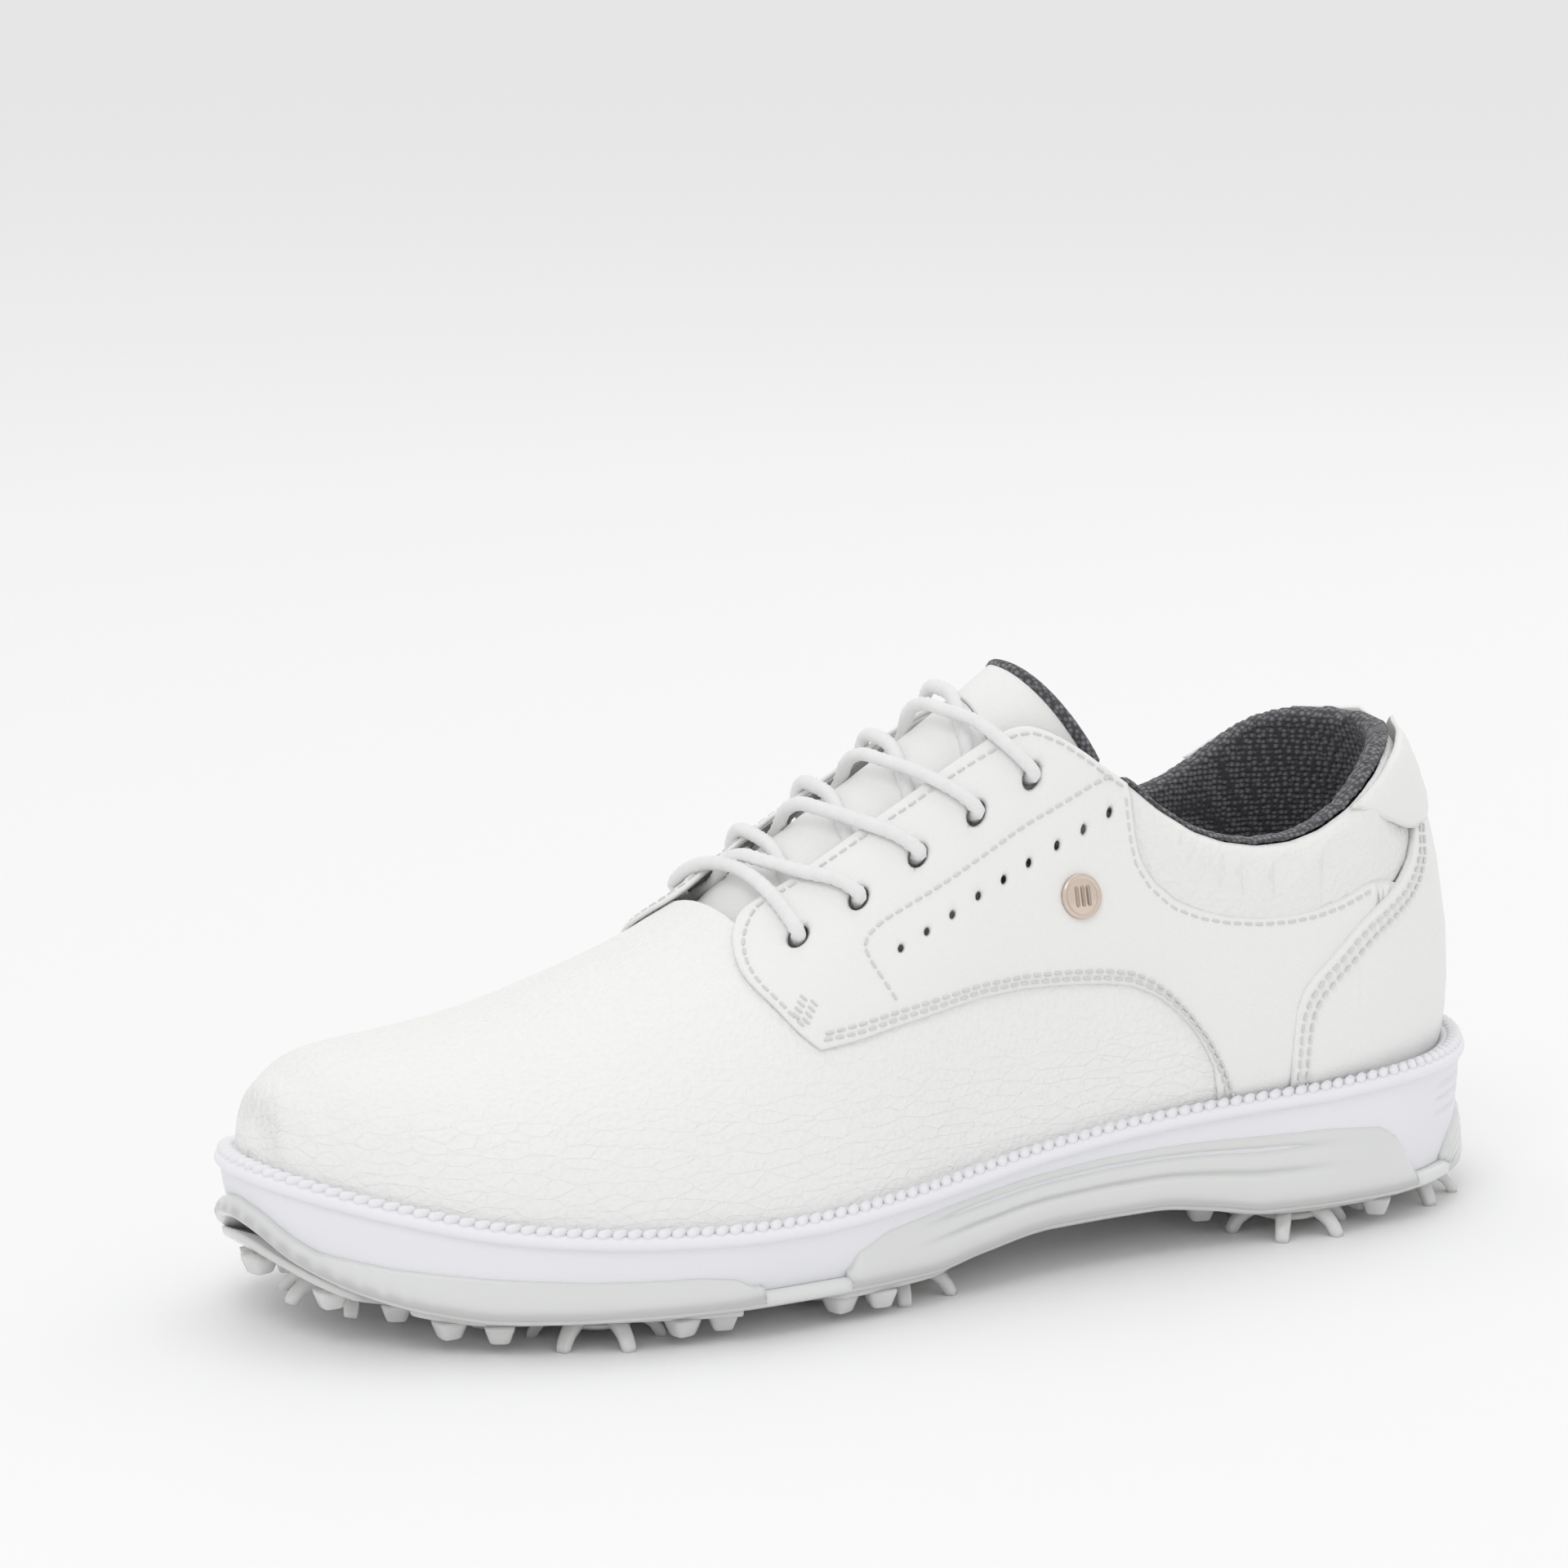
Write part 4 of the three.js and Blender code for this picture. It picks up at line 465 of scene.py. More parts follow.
# ------------------------------------------------------------------ tongue
def tongue_sheet(name, rows, mat, th=2.6, crown=2.2, dbase=-4.8):
    """rows: list of (m_ridge, halfwidth in p, drop) from bottom to top"""
    P = []; K = 33
    for (m, hw, dx, dz) in rows:
        u = np.full(K, np.interp(m, _mt, _ut)); p = .5+np.linspace(-hw, hw, K); t = np.linspace(-1, 1, K)
        q = off(u, p, dbase+(crown*(1-float(sm(184, 194, m))*.85) if name == 'tongue_lower_leather' else crown)*(1-t**2)); q[:, 0] += dx+abs(t)**2.2*dz[0]; q[:, 2] += -abs(t)**2.2*dz[1]; P.append(q)
    P = np.array(P); n, k = P.shape[:2]; idx = np.arange(n*k).reshape(n, k)
    F_ = [(idx[i, j], idx[i+1, j], idx[i+1, j+1], idx[i, j+1]) for i in range(n-1) for j in range(k-1)]
    o = mkobj(name, P.reshape(-1, 3), F_, mat)
    return o, P
rows = [(m, np.interp(m, [130, 160, 191], [.235, .21, .19]), 0, (0, 0)) for m in np.linspace(197, 131.5, 34)]
o, _ = tongue_sheet('tongue_lower_leather', rows, M_SMO, crown=3.0)
md = o.modifiers.new('s', 'SOLIDIFY'); md.thickness = .0024; md.offset = -1; apply(recalc(o)); o.data.polygons.foreach_set("use_smooth", [True]*len(o.data.polygons)); put(o, 'smooth_leather', 'tongue_base')
TT = np.linspace(-1, 1, 41); TP = []
for s_ in np.linspace(0, 1, 20):
    mt = 131.2*(1-s_)+s_*(121-14*abs(TT)**1.7); hw = .235+.042*s_; TP.append(off(np.interp(mt, _mt, _ut), .5+TT*hw, -6.9+5.3*(1-TT**2)**.8))
TP = np.array(TP); n_, k_ = TP.shape[:2]; ix = np.arange(n_*k_).reshape(n_, k_)
o = mkobj('tongue_flap_leather', TP.reshape(-1, 3), [(ix[i, j], ix[i+1, j], ix[i+1, j+1], ix[i, j+1]) for i in range(n_-1) for j in range(k_-1)], M_SMO)
md = o.modifiers.new('s', 'SOLIDIFY'); md.thickness = .0028; md.offset = -1; apply(recalc(o)); o.data.polygons.foreach_set("use_smooth", [True]*len(o.data.polygons)); put(o, 'smooth_leather', 'tongue_top', body='tongue_flap')
def tube(name, pts, r, mat, seg=12, closed=False, ridges=0, flat=1.0):
    pts = np.asarray(pts, float); n = len(pts)
    T = np.gradient(pts, axis=0); T /= np.linalg.norm(T, axis=1)[:, None]; nrm = np.cross(T[0], [0, 0, 1.]); nrm /= np.linalg.norm(nrm)+1e-9; V = []
    s = 0
    for i in range(n):
        nrm = nrm-T[i]*(nrm@T[i]); nrm /= np.linalg.norm(nrm); bn = np.cross(T[i], nrm)
        if i: s += np.linalg.norm(pts[i]-pts[i-1])
        for k in range(seg):
            a_ = 2*math.pi*k/seg; rr = r if not ridges else r*(1+.055*math.cos(ridges*a_+s*2.6)+.055*math.cos(ridges*a_-s*2.6))
            V.append(pts[i]+nrm*rr*math.cos(a_)+bn*rr*flat*math.sin(a_))
    F_ = [(i*seg+k, i*seg+(k+1) % seg, (i+1)*seg+(k+1) % seg, (i+1)*seg+k) for i in range(n-1) for k in range(seg)]
    F_ += [tuple(range(seg))[::-1], tuple((n-1)*seg+k for k in range(seg))]
    return mkobj(name, V, F_, mat)
K = TP.shape[1]; bind = resample(smoothline(TP[-1], 1), 1.2)
o = tube('tongue_binding', bind-np.array([0, 0, 1.3]), 1.5, M_KNIT, 12); put(o, 'mesh_lining', body='tongue_flap')

# ------------------------------------------------------------------ lace
LO = .3+1.2+1.6+.3
def catmull(P, step=.9):
    P = np.asarray(P, float); Q = [2*P[0]-P[1]]+list(P)+[2*P[-1]-P[-2]]; out = []
    for i in range(1, len(Q)-2):
        p0, p1, p2, p3 = Q[i-1], Q[i], Q[i+1], Q[i+2]; k = max(int(np.linalg.norm(p2-p1)/step), 2)
        t0 = 0; t1 = t0+np.linalg.norm(p1-p0)**.5; t2 = t1+np.linalg.norm(p2-p1)**.5; t3 = t2+np.linalg.norm(p3-p2)**.5
        for t in np.linspace(t1, t2, k, endpoint=False):
            A1 = (t1-t)/(t1-t0)*p0+(t-t0)/(t1-t0)*p1; A2 = (t2-t)/(t2-t1)*p1+(t-t1)/(t2-t1)*p2; A3 = (t3-t)/(t3-t2)*p2+(t-t2)/(t3-t2)*p3
            B1 = (t2-t)/(t2-t0)*A1+(t-t0)/(t2-t0)*A2; B2 = (t3-t)/(t3-t1)*A2+(t-t1)/(t3-t1)*A3; out.append((t2-t)/(t2-t1)*B1+(t-t1)/(t2-t1)*B2)
    out.append(P[-1]); return np.array(out)
def L_(m, p, d): return off(np.array([np.interp(m, _mt, _ut)]), np.array([p]), np.array([d]))[0]
def eyein(i, s): m, p0 = EYE[i]; p = 1-p0 if s > 0 else p0; return [(m, p, LO-.6), (m, p, 1.0), (m, p, -1.5)]
def strand(i, s, top):
    (m0, p0), (m1, p1) = EYE[i], EYE[i+1]; dm = m0-m1; k_ = (.02, .04, .08, .14, .22, .48, .84) if top else (.16, .28, .42, .52, .62, .76, .92)
    return [(m0-k_[0]*dm, .5+s*(.5-p0-.034), -2.5), (m0-k_[1]*dm, .5+s*.108, -2.3), (m0-k_[2]*dm, .5+s*.045, 1.8 if top else -.2), (m0-k_[3]*dm, .5, 3.2 if top else -.1),
            (m0-k_[4]*dm, .5-s*.05, 3.2 if top else .4), (m0-k_[5]*dm, .5-s*.115, 3.1), (m0-k_[6]*dm, .5-s*(.5-p1-.03), LO)]
def tail(s): return [(m, 1-p if s > 0 else p, d) for m, p, d in [(112.6,.15,-3.75),(112.5,.175,-3.0),(112.6,.2,-1.7),(114,.225,-1.3),(117.5,.247,-1.3),(121.5,.262,-1.4)]]
route = tail(-1)+eyein(4, -1)[::-1]; s = -1
for i in (3, 2, 1, 0): route += strand(i, -s, -s > 0)[::-1]+eyein(i, -s)[::-1]; s = -s
m, p0 = EYE[0]; route += [(m+.2, .5+s*.12, 3.2), (m+.3, .5, 2.2), (m+.2, .5-s*.12, 3.2)]; t_ = -s; route += eyein(0, t_)
for i in range(4): route += strand(i, t_, t_ > 0); t_ = -t_; route += eyein(i+1, t_)
route += tail(t_)[::-1]
cen = catmull([L_(*q) for q in route]); 
o = tube('lace_braided', cen, 1.6, M_LACE, 16, ridges=4, flat=.9); put(o, 'lace_cord', 'lace')

# ------------------------------------------------------------------ sole
def plan(inset, n):
    u = (1-np.cos(np.linspace(0, math.pi, n)))/2; u = np.linspace(0, 1, n)
    th = []
    for side, tab in ((0, SYL), (1, SYM)):
        m = pchip(UU, SMU, u); y = pchip(UU, tab, u); th.append((m, y))
    ring = np.vstack([np.stack(th[0], -1), np.stack(th[1], -1)[::-1][1:-1]])
    ring = resample(smoothline(np.vstack([ring, ring[:1]]), 1)[:-1], 1.0, True)
    for _ in range(3): ring = (np.roll(ring, 1, 0)+2*ring+np.roll(ring, -1, 0))/4
    t = np.roll(ring, -2, 0)-np.roll(ring, 2, 0); t /= np.linalg.norm(t, axis=1)[:, None]; nn = np.stack([-t[:, 1], t[:, 0]], -1)
    c = ring.mean(0)
    if ((ring+nn-c)**2).sum() > ((ring-nn-c)**2).sum(): nn = -nn
    for _ in range(8): nn = (np.roll(nn, 1, 0)+2*nn+np.roll(nn, -1, 0))/4
    nn /= np.linalg.norm(nn, axis=1)[:, None]
    return ring, nn
RING, NIN = plan(0, 240); NR = len(RING); RM_ = RING[:, 0]
def W(m, y, z): return np.stack([X0-m, y+YS, z], -1)
def loft(name, prof, mat, closed_prof=False, caps=False):
    """prof: list of (inset array or float, z array)"""
    P = []
    for ins, z in prof:
        q = RING+NIN*(np.broadcast_to(ins, (NR,))[:, None]); P.append(W(q[:, 0], q[:, 1], np.broadcast_to(z, (NR,))))
    P = np.array(P); k = len(P); idx = np.arange(k*NR).reshape(k, NR); F_ = []
    for i in range(k if closed_prof else k-1):
        for j in range(NR): F_.append((idx[i, j], idx[i, (j+1) % NR], idx[(i+1) % k, (j+1) % NR], idx[(i+1) % k, j]))
    V = P.reshape(-1, 3)
    if caps:
        V = list(V)
        for row in (0, k-1):
            # ribs across: pair the lateral and medial points
            lat = [j for j in range(NR)]; 
            c = [(j, (NR-j) % NR) for j in range(1, NR//2)]
            for q_ in range(len(c)-1):
                a1, b1 = c[q_]; a2, b2 = c[q_+1]; F_.append((idx[row, a1], idx[row, a2], idx[row, b2], idx[row, b1]))
            F_.append((idx[row, 0], idx[row, 1], idx[row, NR-1])); F_.append((idx[row, NR//2], idx[row, c[-1][0]], idx[row, c[-1][1]]) if c[-1][0] != NR//2 else (idx[row, 0], idx[row, 1], idx[row, NR-1]))
    o = mkobj(name, V, F_, mat); return recalc(merge(o))
zwm = zw(RM_); zom = zo(RM_)
# midsole side: slightly bulged wall under the welt
base = zom+3.2; H = (zwm-.3)-base
prof = [(2.9+6, base+.3), (2.9, base+.3)]
gm = sm(6, 10, RM_)*(1-sm(24, 28, RM_))*(RING[:, 1] < 0)
for t in np.linspace(0, 1, 48)[1:]: prof.append((3.1-.5*max(math.sin(math.pi*t), 0)**.8-1.9*t+gm*.75*sum(math.exp(-((t-g)/.025)**2) for g in (.52, .66, .80)), base+.3+(H-.5)*t))
prof.append((8, zwm-.6))
o = loft('midsole_foam', prof, M_EVA, caps=True); put(o, 'midsole_foam', 'midsole', 'shank')
# welt: rounded strip
prof = []
wz = zwm+.1
for k in range(13):
    t = -math.pi/2+math.pi*k/12; prof.append((1.5-1.6*math.cos(t), wz-.2+1.5*math.sin(t)))
prof += [(3.0, wz+1.6), (4.6, wz+2.0), (6.0, wz+1.0), (6.6, wz-1.2)]
o = loft('welt_strip', prof, M_WELT, closed_prof=True); put(o, 'welt_rubber', 'welt')
# rope bead: slanted lobes
L = np.r_[0, np.cumsum(np.linalg.norm(np.diff(np.vstack([RING, RING[:1]]), axis=0), axis=1))]; total = L[-1]; nb = int(total/3.2); fr = []
for k in range(nb):
    s = k*total/nb; j = np.searchsorted(L, s)-1; j = max(min(j, NR-1), 0); f_ = (s-L[j])/(L[j+1]-L[j]); q = RING[j]*(1-f_)+RING[(j+1) % NR]*f_; nn = NIN[j]
    c = W(*(q+nn*2.3), zw(q[0])+1.75); tt = RING[(j+1) % NR]-RING[j]; tt /= np.linalg.norm(tt); sl = (zw(q[0]+tt[0]*2)-zw(q[0]-tt[0]*2))/4
    x = np.array([-tt[0], tt[1], sl]); x /= np.linalg.norm(x); z = np.array([0, 0, 1.]); z = z-x*(z@x); z /= np.linalg.norm(z); y = np.cross(z, x)
    xx = x*math.cos(.75)+y*math.sin(.75)*(1 if True else 1); yy = np.cross(z, xx); fr.append((c, xx, yy, z))
o = instances('welt_bead', capsule(4.2, 1.15, 8, 3), fr, M_WELT); put(o, 'welt_rubber')

# outsole plate with rolled side lip
top = zom+3.4
prof = [(14, zom+.3), (3.2, zom+0.0), (1.2, zom+.25), (.25, zom+1.1), (0, zom+2.0), (.3, zom+3.0), (1.3, top+.2), (3.4, top)]
o1 = loft('outsole_plate', prof, M_TPU, caps=True)
# side wings
def wing(name, sel, topz, th=2.0):
    """sel: list of ring indices; topz: height of the wing's top at each"""
    n = len(sel); rows = []
    q0 = RING[sel]; n0 = NIN[sel]; zb = zo(q0[:, 0])+1.4; topz = np.maximum(topz, zb+3.5)
    K_ = 36
    for k in range(K_+1):
        t = k/K_; z = zb+(topz-zb)*t; bulge = .35*np.sin(np.pi*t)
        if name == 'wr': bulge = bulge-1.9*(math.exp(-((t-.46)/.045)**2)+math.exp(-((t-.74)/.045)**2))*sm(50, 75, q0[:, 0])*(1-sm(150, 172, q0[:, 0]))
        if name == 'wh': bulge = bulge-.9*sum(math.exp(-((t-g)/.04)**2) for g in (.3, .5, .7, .9))
        if name == 'wf': bulge = bulge+.7*np.clip(np.sin(2*np.pi*np.arange(n)/5.0), 0, 1)*sm(268, 280, q0[:, 0])*math.sin(math.pi*min(t*1.2, 1))
        ins = 0.1+1.3*t**1.6-bulge*.6+.9*sm(.9, 1, t); rows.append(W(q0[:, 0]+n0[:, 0]*ins, q0[:, 1]+n0[:, 1]*ins, z))
    for k in range(K_, -1, -1):
        t = k/K_; z = zb+(topz-zb)*t-.0; ins = 3.0+0*t; rows.append(W(q0[:, 0]+n0[:, 0]*ins, q0[:, 1]+n0[:, 1]*ins, z))
    P = np.array(rows); k = len(P); idx = np.arange(k*n).reshape(k, n); F_ = []
    for i in range(k):
        for j in range(n-1): F_.append((idx[i, j], idx[i, j+1], idx[(i+1) % k, j+1], idx[(i+1) % k, j]))
    F_.append(tuple(idx[:, 0])); F_.append(tuple(idx[:, -1])[::-1])
    return recalc(mkobj(name, P.reshape(-1, 3), F_, M_TPU))
lat_idx = [j for j in range(NR) if RING[j, 1] < np.interp(RING[j, 0], [0, 300], [2.5, 12])]
med_idx = [j for j in range(NR) if j not in set(lat_idx)]
def wtop(m): return None
fore_t = ([206,209,214,222,235,244,262,280,296,304],[8.6,11.5,14.2,15.4,15.8,16.2,17.5,19,21.5,25])
rear_t = ([34,37,41,46,60,92,116,140,160,176,184,187],[9.5,15,21,24.5,26.2,26.6,26.2,24.6,22.6,20,15.5,9])
parts = [o1]
order = sorted(range(NR), key=lambda j: 0)
def runs(cond):
    ids = [j for j in range(NR) if cond(RING[j])]; out = []; cur = []
    # rotate so that a run never wraps
    st = next((j for j in range(NR) if not cond(RING[j])), 0)
    for k in range(NR):
        j = (st+k) % NR
        if cond(RING[j]): cur.append(j)
        elif cur: out.append(cur); cur = []
    if cur: out.append(cur)
    return out
for r in runs(lambda q: q[0] > 206.5): parts.append(wing('wf', r, np.interp(RING[r][:, 0], *fore_t)))
for r in runs(lambda q: 34.5 < q[0] < 186.5): parts.append(wing('wr', r, np.interp(RING[r][:, 0], *rear_t)))
for r in runs(lambda q: q[0] < 22): parts.append(wing('wh', r, np.interp(RING[r][:, 0], [0, 10, 18, 22], [21, 20, 16, 10])))
o = join(parts, 'outsole_shell')

PODS = [
 [(284.6,-15.1),(265.2,-9.1),(250.9,-5.5),(240.5,-1.8),(235.2,2.0),(234.4,6.6),(238.5,11.6),(248.6,19.8),(255.6,25.6),(265.1,34.1),(274.0,40.5),(280.4,44.3),(288,40),(295,29),(297.5,12),(295,-3),(290,-12)],
 [(212.0,-49.4),(224.2,-45.8),(243.0,-38.2),(261.7,-30.6),(275.1,-23.0),(275.1,-19.8),(268.6,-16.1),(254.9,-11.9),(238.0,-8.4),(219.5,-3.5),(210.9,-3.0),(207.0,-5.7),(205.7,-11.1),(208.0,-26.3),(209.6,-40.8)],
 [(208.7,6.9),(214.7,6.3),(223.9,10.4),(238.2,17.1),(249.7,26.3),(261.8,39.9),(268.8,47),(246.0,53.5),(222.4,55.4),(207.9,54.6),(206.6,51.3),(205.6,36.0),(205.8,22.8),(205.4,11.5)],
 [(187.1,-49.2),(190.4,-46.8),(192.2,-37.4),(194.0,-23.4),(195.7,-9.3),(194.3,-4.0),(189.6,-2.1),(180.3,-4.9),(167.5,-8.6),(148.6,-14.4),(136.4,-21.6),(131.0,-25.8),(132.4,-28.5),(140.1,-34.5),(157.3,-43.1),(172.3,-46.8)],
 [(194.1,6.7),(196.0,11.4),(196.5,21.4),(195.0,36.0),(193.4,49.7),(190.6,53.1),(174.6,50.5),(156.5,43.9),(142.4,31.9),(137.7,24.4),(139.1,20.3),(148.1,15.6),(161.8,10.3),(178.1,5.1),(189.5,4.6)],
 [(84,-33),(84,-20),(78,-16),(60,-12),(44,-8),(22,-3),(9,-6),(8,-17),(16,-27),(24,-33.5),(34,-38.5),(50,-41),(68,-41)],
 [(92,20),(92,31),(70,35),(50,38),(30,36.5),(17,30),(8,19),(7,11),(20,9.5),(46,6),(60,7.5),(80,14)]]
SPK = [(274.5,9.7),(235.6,-28.7),(228.6,36.7),(164.5,-29.6),(172.9,28.6),(62.6,-30.7),(71.3,18.7),(25,-18.9),(30.8,20.9)]
TILT = [.19]+[0]*8
def floorAt(m): return float(zo(m))+(.8 if m > 270 else 0)
def slabpoly(name, poly, z0f, z1f, mat, bev=.9, step=3.0, texture=None):
    """extruded plan outline with a rounded lower rim; z1f under side, z0f top"""
    B = resample(np.vstack([smoothline(np.vstack([poly, poly[:1]]), 2)[:-1]]), 1.2, True)
    c = B.mean(0); nx = np.roll(B, -1, 0)-np.roll(B, 1, 0); nrm = np.stack([-nx[:, 1], nx[:, 0]], -1); nrm /= np.linalg.norm(nrm, axis=1)[:, None]+1e-9
    if inside(B+nrm*.3, B).mean() < .5: nrm = -nrm
    lo, hi = B.min(0), B.max(0); gx, gy = np.meshgrid(np.arange(lo[0], hi[0], step), np.arange(lo[1], hi[1], step), indexing='ij'); G = np.stack([gx.ravel(), gy.ravel()], -1); G = G[inside(G, B)]; G = G[segdist(G, B) > bev+.6]
    V = np.vstack([B, G]); n = len(B)
    R2 = B+nrm*bev
    R2ok = R2
    ov, oe, of, *_ = delaunay_2d_cdt([Vector(a_) for a_ in np.vstack([R2ok, G])], [(i, (i+1) % n) for i in range(n)], [list(range(n))], 1, 1e-5)
    ov = np.array([[a_.x, a_.y] for a_ in ov]); of = [f for f in of]
    zz = z1f(ov[:, 0]) + (texture(ov) if texture else 0)
    V3 = [W(ov[:, 0], ov[:, 1], zz)]; F_ = [tuple(f) for f in of]; base_n = len(ov)
    # rims
    lay = []
    for k in range(4):
        t = math.pi/2*(1-k/3); q = B+nrm*bev*(1-math.cos(t))*1.0 if False else B+nrm*bev*(1-math.sin(math.pi/2*k/3)); z = z1f(q[:, 0])+bev*(1-math.cos(math.pi/2*k/3)); lay.append(W(q[:, 0], q[:, 1], z))
    lay.append(W(B[:, 0], B[:, 1], z0f(B[:, 0])))
    st = base_n
    for l in lay: V3.append(l)
    for k in range(len(lay)-1):
        for i in range(n): F_.append((st+k*n+i, st+k*n+(i+1) % n, st+(k+1)*n+(i+1) % n, st+(k+1)*n+i))
    F_.append(tuple(st+(len(lay)-1)*n+i for i in range(n)))
    return recalc(merge(mkobj(name, np.vstack(V3), F_, mat), .00004))
pods = [slabpoly('pod%d' % i, np.array(p_), lambda m: zo(m)+.6, lambda m: zo(m)-1.3, M_NUB, .8) for i, p_ in enumerate(PODS)]
NUBS = [(286.4,-7),(272.3,-9.2),(259.8,-4.9),(253,-3.1),(246.1,10),(257.6,19.4),(293.2,12.6),(287.4,26.8),(277.2,32),(266.6,26.6),(267.4,-23.6),(258.5,-29.2),(256.2,-17),(223.2,-43.2),(213.6,-43.0),(211.2,-15.6),(224.2,-11.2),(212.0,-30.4),(239.2,18.2),(251.3,31.2),(258.3,41.2),(247.6,46),(220.8,15.6),(212.6,12.5),(209.7,27.7),(208.5,46),(186,-44.6),(176.6,-45.0),(185.0,-33.7),(190.8,-27.8),(189.9,-18.5),(189.7,-7.8),(175,-11.0),(138.6,-27.7),(143.8,-22.6),(190,12),(177.3,8.6),(192.1,28.7),(162.6,11.4),(153.0,16.4),(143.8,22.3),(147.5,34),(188.2,47),(176.6,48.4),(82,-25),(44.4,-18),(43.6,-32),(40,-12),(43,-37.4),(52,13),(50,30),(68,36.2),(86,25),(8.8,-12),(11.6,13),(48.6,36)]
pyr = (np.array([(sx*r, sy*r, z) for r, z in ((2.9, 0), (2.75, -1.0), (1.95, -3.6), (1.6, -3.95)) for sx, sy in ((-1,-1),(-.55,-1.12),(.55,-1.12),(1,-1),(1.12,-.55),(1.12,.55),(1,1),(.55,1.12),(-.55,1.12),(-1,1),(-1.12,.55),(-1.12,-.55))]),
       [(i*12+j, i*12+(j+1) % 12, (i+1)*12+(j+1) % 12, (i+1)*12+j) for i in range(3) for j in range(12)]+[tuple(range(36, 48))[::-1], tuple(range(12))])
fr = []
for k, (m, y) in enumerate(NUBS):
    if min(math.hypot(a_-m, b_-y) for a_, b_ in SPK) < 17.7: continue
    an = k*1.1; fr.append((W(m, y, float(zo(m))-1.1), np.array([math.cos(an), math.sin(an), 0]), np.array([-math.sin(an), math.cos(an), 0]), np.array([0, 0, 1.])))
nb_ = instances('nubs', pyr, fr, M_NUB); recalc(nb_)
o2 = join([o]+pods+[nb_], 'outsole_visual'); put(o2, 'outsole_tpu', 'outsole')
# arch window with pyramid texture
WIN = np.array([(148.0,-3.1),(148.6,2.2),(145.2,7.1),(134.5,12.7),(122.7,17.4),(115.8,18.7),(108.2,16.6),(94.4,8.1),(77.3,-0.3),(74.2,-4.2),(77.1,-8.4),(86.3,-11.7),(103.2,-16.9),(115.0,-17.3),(123.9,-15.0),(139.6,-8.5)])
def tex(v):
    a_ = (v[:, 0]+v[:, 1])/3.2; b_ = (v[:, 0]-v[:, 1])/3.2; return -.6*np.maximum(0, 1-2*np.maximum(abs(a_-np.round(a_)), abs(b_-np.round(b_))))
o = slabpoly('arch_window_plate', WIN, lambda m: zo(m)+.2, lambda m: zo(m)-.35, M_WIN, .5, step=.8, texture=tex); put(o, 'window_tpu', 'arch_window')
FR_ = WIN+(WIN-np.array([112, 0]))/np.linalg.norm(WIN-np.array([112, 0]), axis=1)[:, None]*4.5
frm = resample(smoothline(np.vstack([FR_, FR_[:1]]), 2)[:-1], 1.5, True); frm = np.vstack([frm, frm[:1]])
o = tube('window_frame', W(frm[:, 0], frm[:, 1], zo(frm[:, 0])+.1), 2.2, M_TPU, 10); put(o, 'outsole_tpu')

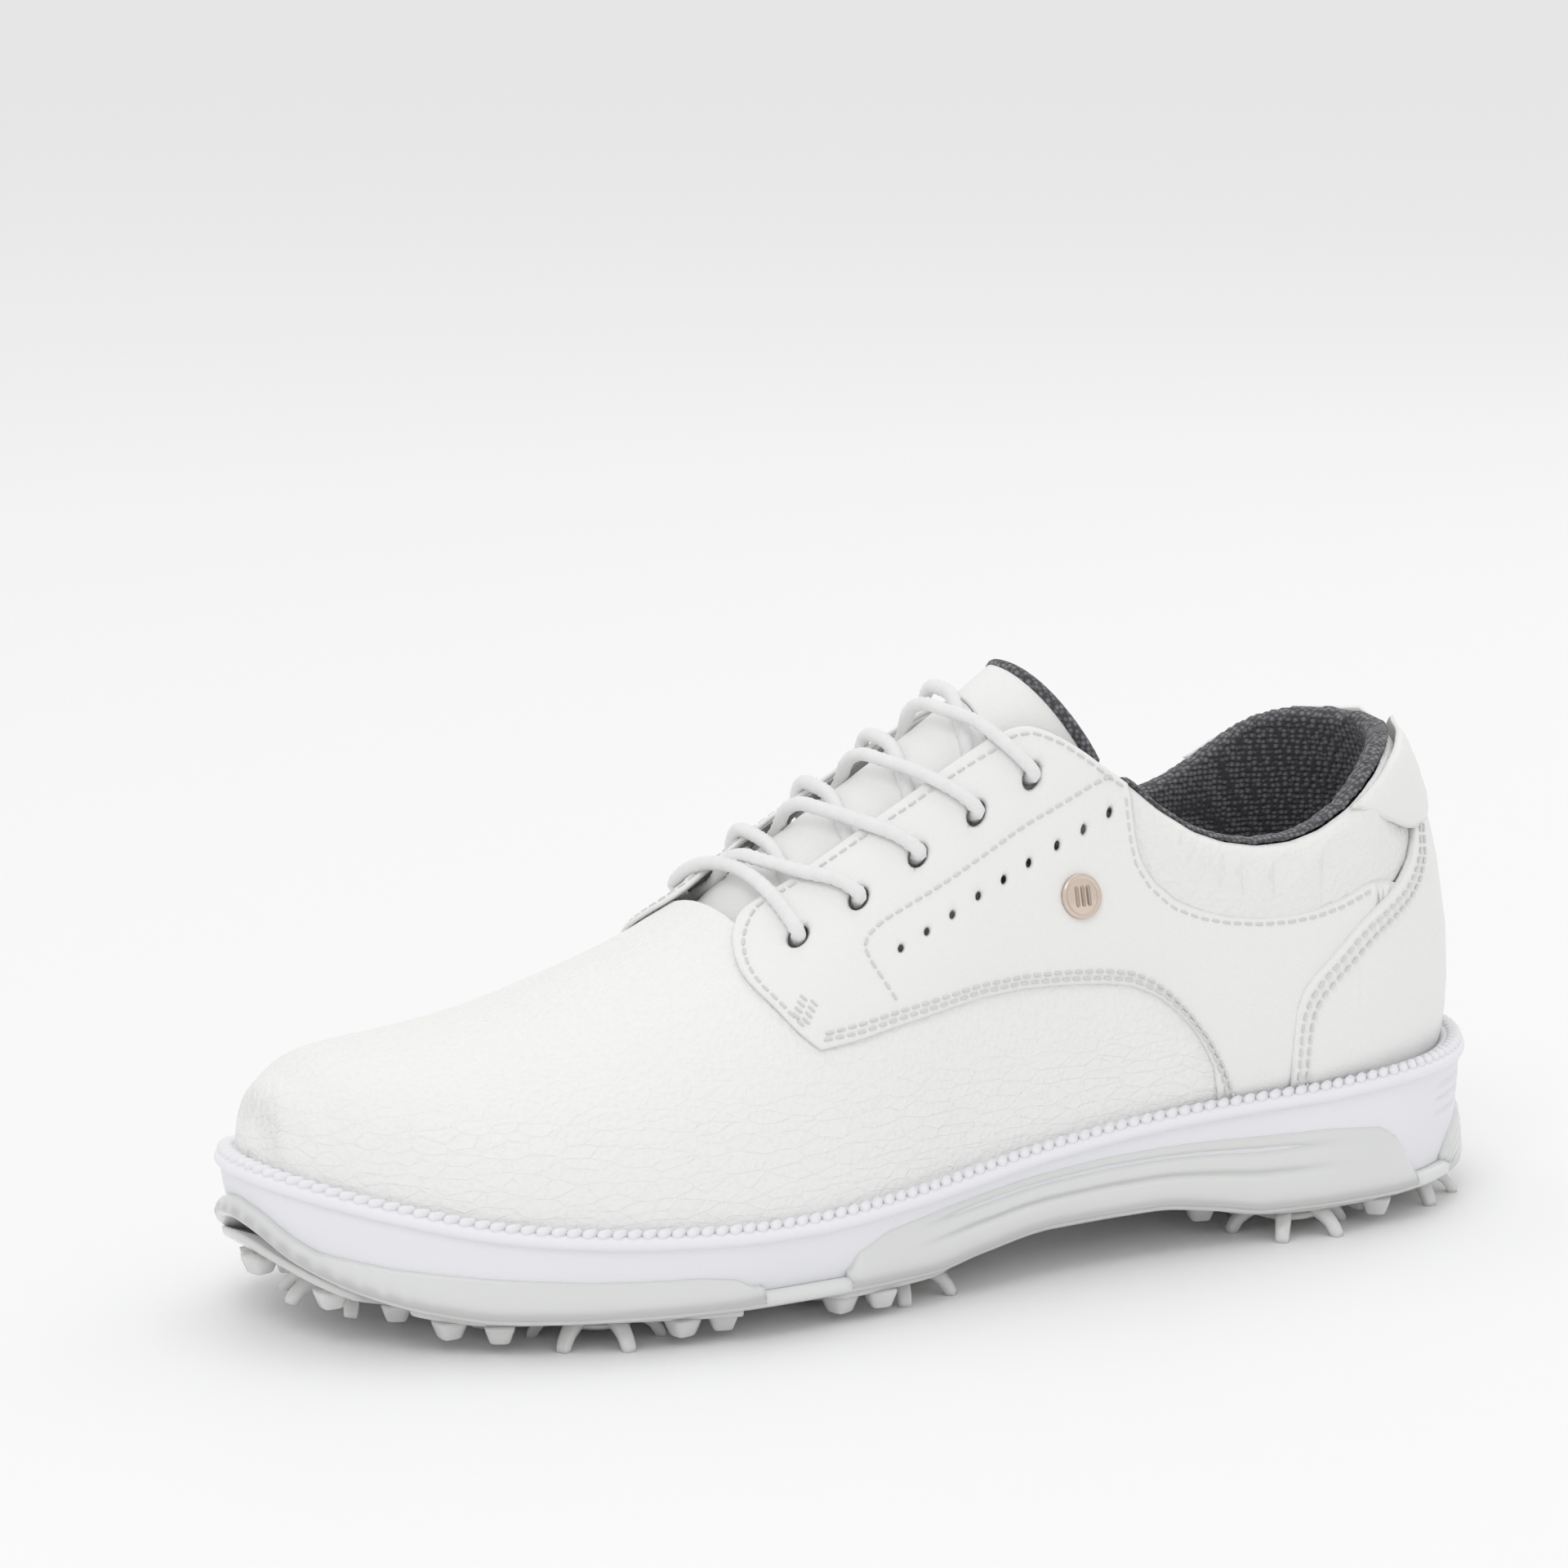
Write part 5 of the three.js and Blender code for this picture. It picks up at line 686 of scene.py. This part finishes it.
# ------------------------------------------------------------------ spikes
def rotY(v, t, c): 
    q = v.copy(); x, z = v[:, 0], v[:, 2]; q[:, 0] = x*math.cos(t)+z*math.sin(t); q[:, 2] = -x*math.sin(t)+z*math.cos(t); return q+c
def spike(i):
    m, y = SPK[i]; c = W(m, y, floorAt(m)); t = TILT[i]; ht = -1.3-.35
    # hub: lathe
    prof = [(0, ht-.2), (6.6, ht-.2), (7.8, ht-.5), (8.2, ht-1.1), (7.9, ht-1.7), (6.9, ht-2.1), (6.4, ht-2.1), (6.1, ht-1.8), (5.6, ht-1.8), (5.3, ht-2.3), (2.6, ht-2.5), (2.2, ht-2.3), (0, ht-2.3)]
    seg = 48; V = []; F_ = []
    for r, z in prof:
        for k in range(seg): a_ = 2*math.pi*k/seg; V.append((r*math.cos(a_), r*math.sin(a_), z))
    for q in range(len(prof)-1):
        for k in range(seg): F_.append((q*seg+k, q*seg+(k+1) % seg, (q+1)*seg+(k+1) % seg, (q+1)*seg+k))
    hub = recalc(merge(mkobj('spike_hub_%d' % (i+1), rotY(np.array(V), t, c), F_, M_SILV if i < 3 else M_MILK)))
    # six legs reaching out and down from the hub
    L6 = []; 
    for k in range(6):
        a_ = .2+i*.35+k*math.pi/3; ca, sa = math.cos(a_), math.sin(a_)
        sec = [(5.6, ht-.4, 2.6, 1.5), (8.2, ht-.3, 2.5, 2.0), (10.4, ht-1.2, 2.5, 2.4), (12.2, -4.4, 2.3, 2.3), (13.2, -5.9, 2.2, 2.2), (13.5, -7.0, 2.0, 1.9)]
        Vv = []; n8 = 10
        for q, (r, z, wy, wz) in enumerate(sec):
            dr = [.0, .15, .5, .85, .95, 1][q]
            tx = np.array([1.-dr, 0, -float(dr)]); tx = tx/np.linalg.norm(tx); nz_ = np.array([float(dr), 0, 1.-dr]); nz_ = nz_/np.linalg.norm(nz_)
            for s_ in range(n8):
                b_ = 2*math.pi*s_/n8; cy = math.copysign(abs(math.cos(b_))**.6, math.cos(b_)); sz = math.copysign(abs(math.sin(b_))**.6, math.sin(b_))
                Vv.append(np.array([r, 0, z])+np.array([0, 1, 0])*wy*.72*cy+nz_*wz*.62*sz)
        Vv = np.array(Vv); Vv[:, 2] = np.maximum(Vv[:, 2], -7.0); Vv = np.stack([Vv[:, 0]*ca-Vv[:, 1]*sa, Vv[:, 0]*sa+Vv[:, 1]*ca, Vv[:, 2]], -1)
        Ff = [(q*n8+s_, q*n8+(s_+1) % n8, (q+1)*n8+(s_+1) % n8, (q+1)*n8+s_) for q in range(len(sec)-1) for s_ in range(n8)]+[tuple(range(n8))[::-1], tuple((len(sec)-1)*n8+s_ for s_ in range(n8))]
        L6.append(recalc(mkobj('leg', rotY(Vv, t, c), Ff, M_NUB)))
    legs = join(L6, 'spike_legs_%d' % (i+1)); b = 'spike_%d_body' % (i+1); sl = 'spike_front' if i < 3 else 'spike_rear'
    put(hub, sl, 'spike_%d' % (i+1), body=b); put(legs, sl, body=b)
for i in range(9): spike(i)

# ------------------------------------------------------------------ badge
def badge():
    u, p = inv_mz([118.9], [81.2]); c = off(u, p, np.array([1.75]))[0]; n = off(u, p, np.array([3.0]))[0]-c; n /= np.linalg.norm(n); x = np.cross([0, 0, 1.], n); x /= np.linalg.norm(x); y = np.cross(n, x)
    prof = [(0, .95), (3.6, .95), (3.75, .8), (3.95, .8), (4.1, 1.0), (4.6, 1.0), (4.85, .8), (4.9, .4), (4.9, -.1)]; seg = 64; V = []; F_ = []
    for r, z in prof:
        for k in range(seg): a_ = 2*math.pi*k/seg; V.append(c+x*r*math.cos(a_)+y*r*math.sin(a_)+n*z)
    for q in range(len(prof)-1):
        for k in range(seg): F_.append((q*seg+k, q*seg+(k+1) % seg, (q+1)*seg+(k+1) % seg, (q+1)*seg+k))
    F_.append(tuple((len(prof)-1)*seg+k for k in range(seg)))
    o = recalc(merge(mkobj('badge_disc', V, F_, M_BADGE))); put(o, 'badge_metal', 'side_badge')
    # plain raised bars as a generic mark
    fr = [(c+x*dx+n*1.0, y, -x, n) for dx in (-1.5, 0, 1.5)]; o = instances('badge_bars', capsule(4.6, .42, 8, 3), fr, M_BADGE2); put(o, 'badge_metal')
badge()

# ------------------------------------------------------------------ inside
def assign(node, mat):
    ob = frame['nodes'][node]
    for x in [ob]+list(ob.children):
        if x.type == 'MESH':
            x.data.materials.clear(); x.data.materials.append(mat)
for nme, mt in (('sockliner', M_INS), ('vamp_lining', M_COL), ('strobel_board', M_NYL), ('toe_puff', M_NYL), ('heel_stiffener', M_COL), ('aglet_lateral', M_NUB), ('aglet_medial', M_NUB)): assign(nme, mt)
for i in range(9): assign('receptacle_%d' % (i+1), M_NYL)
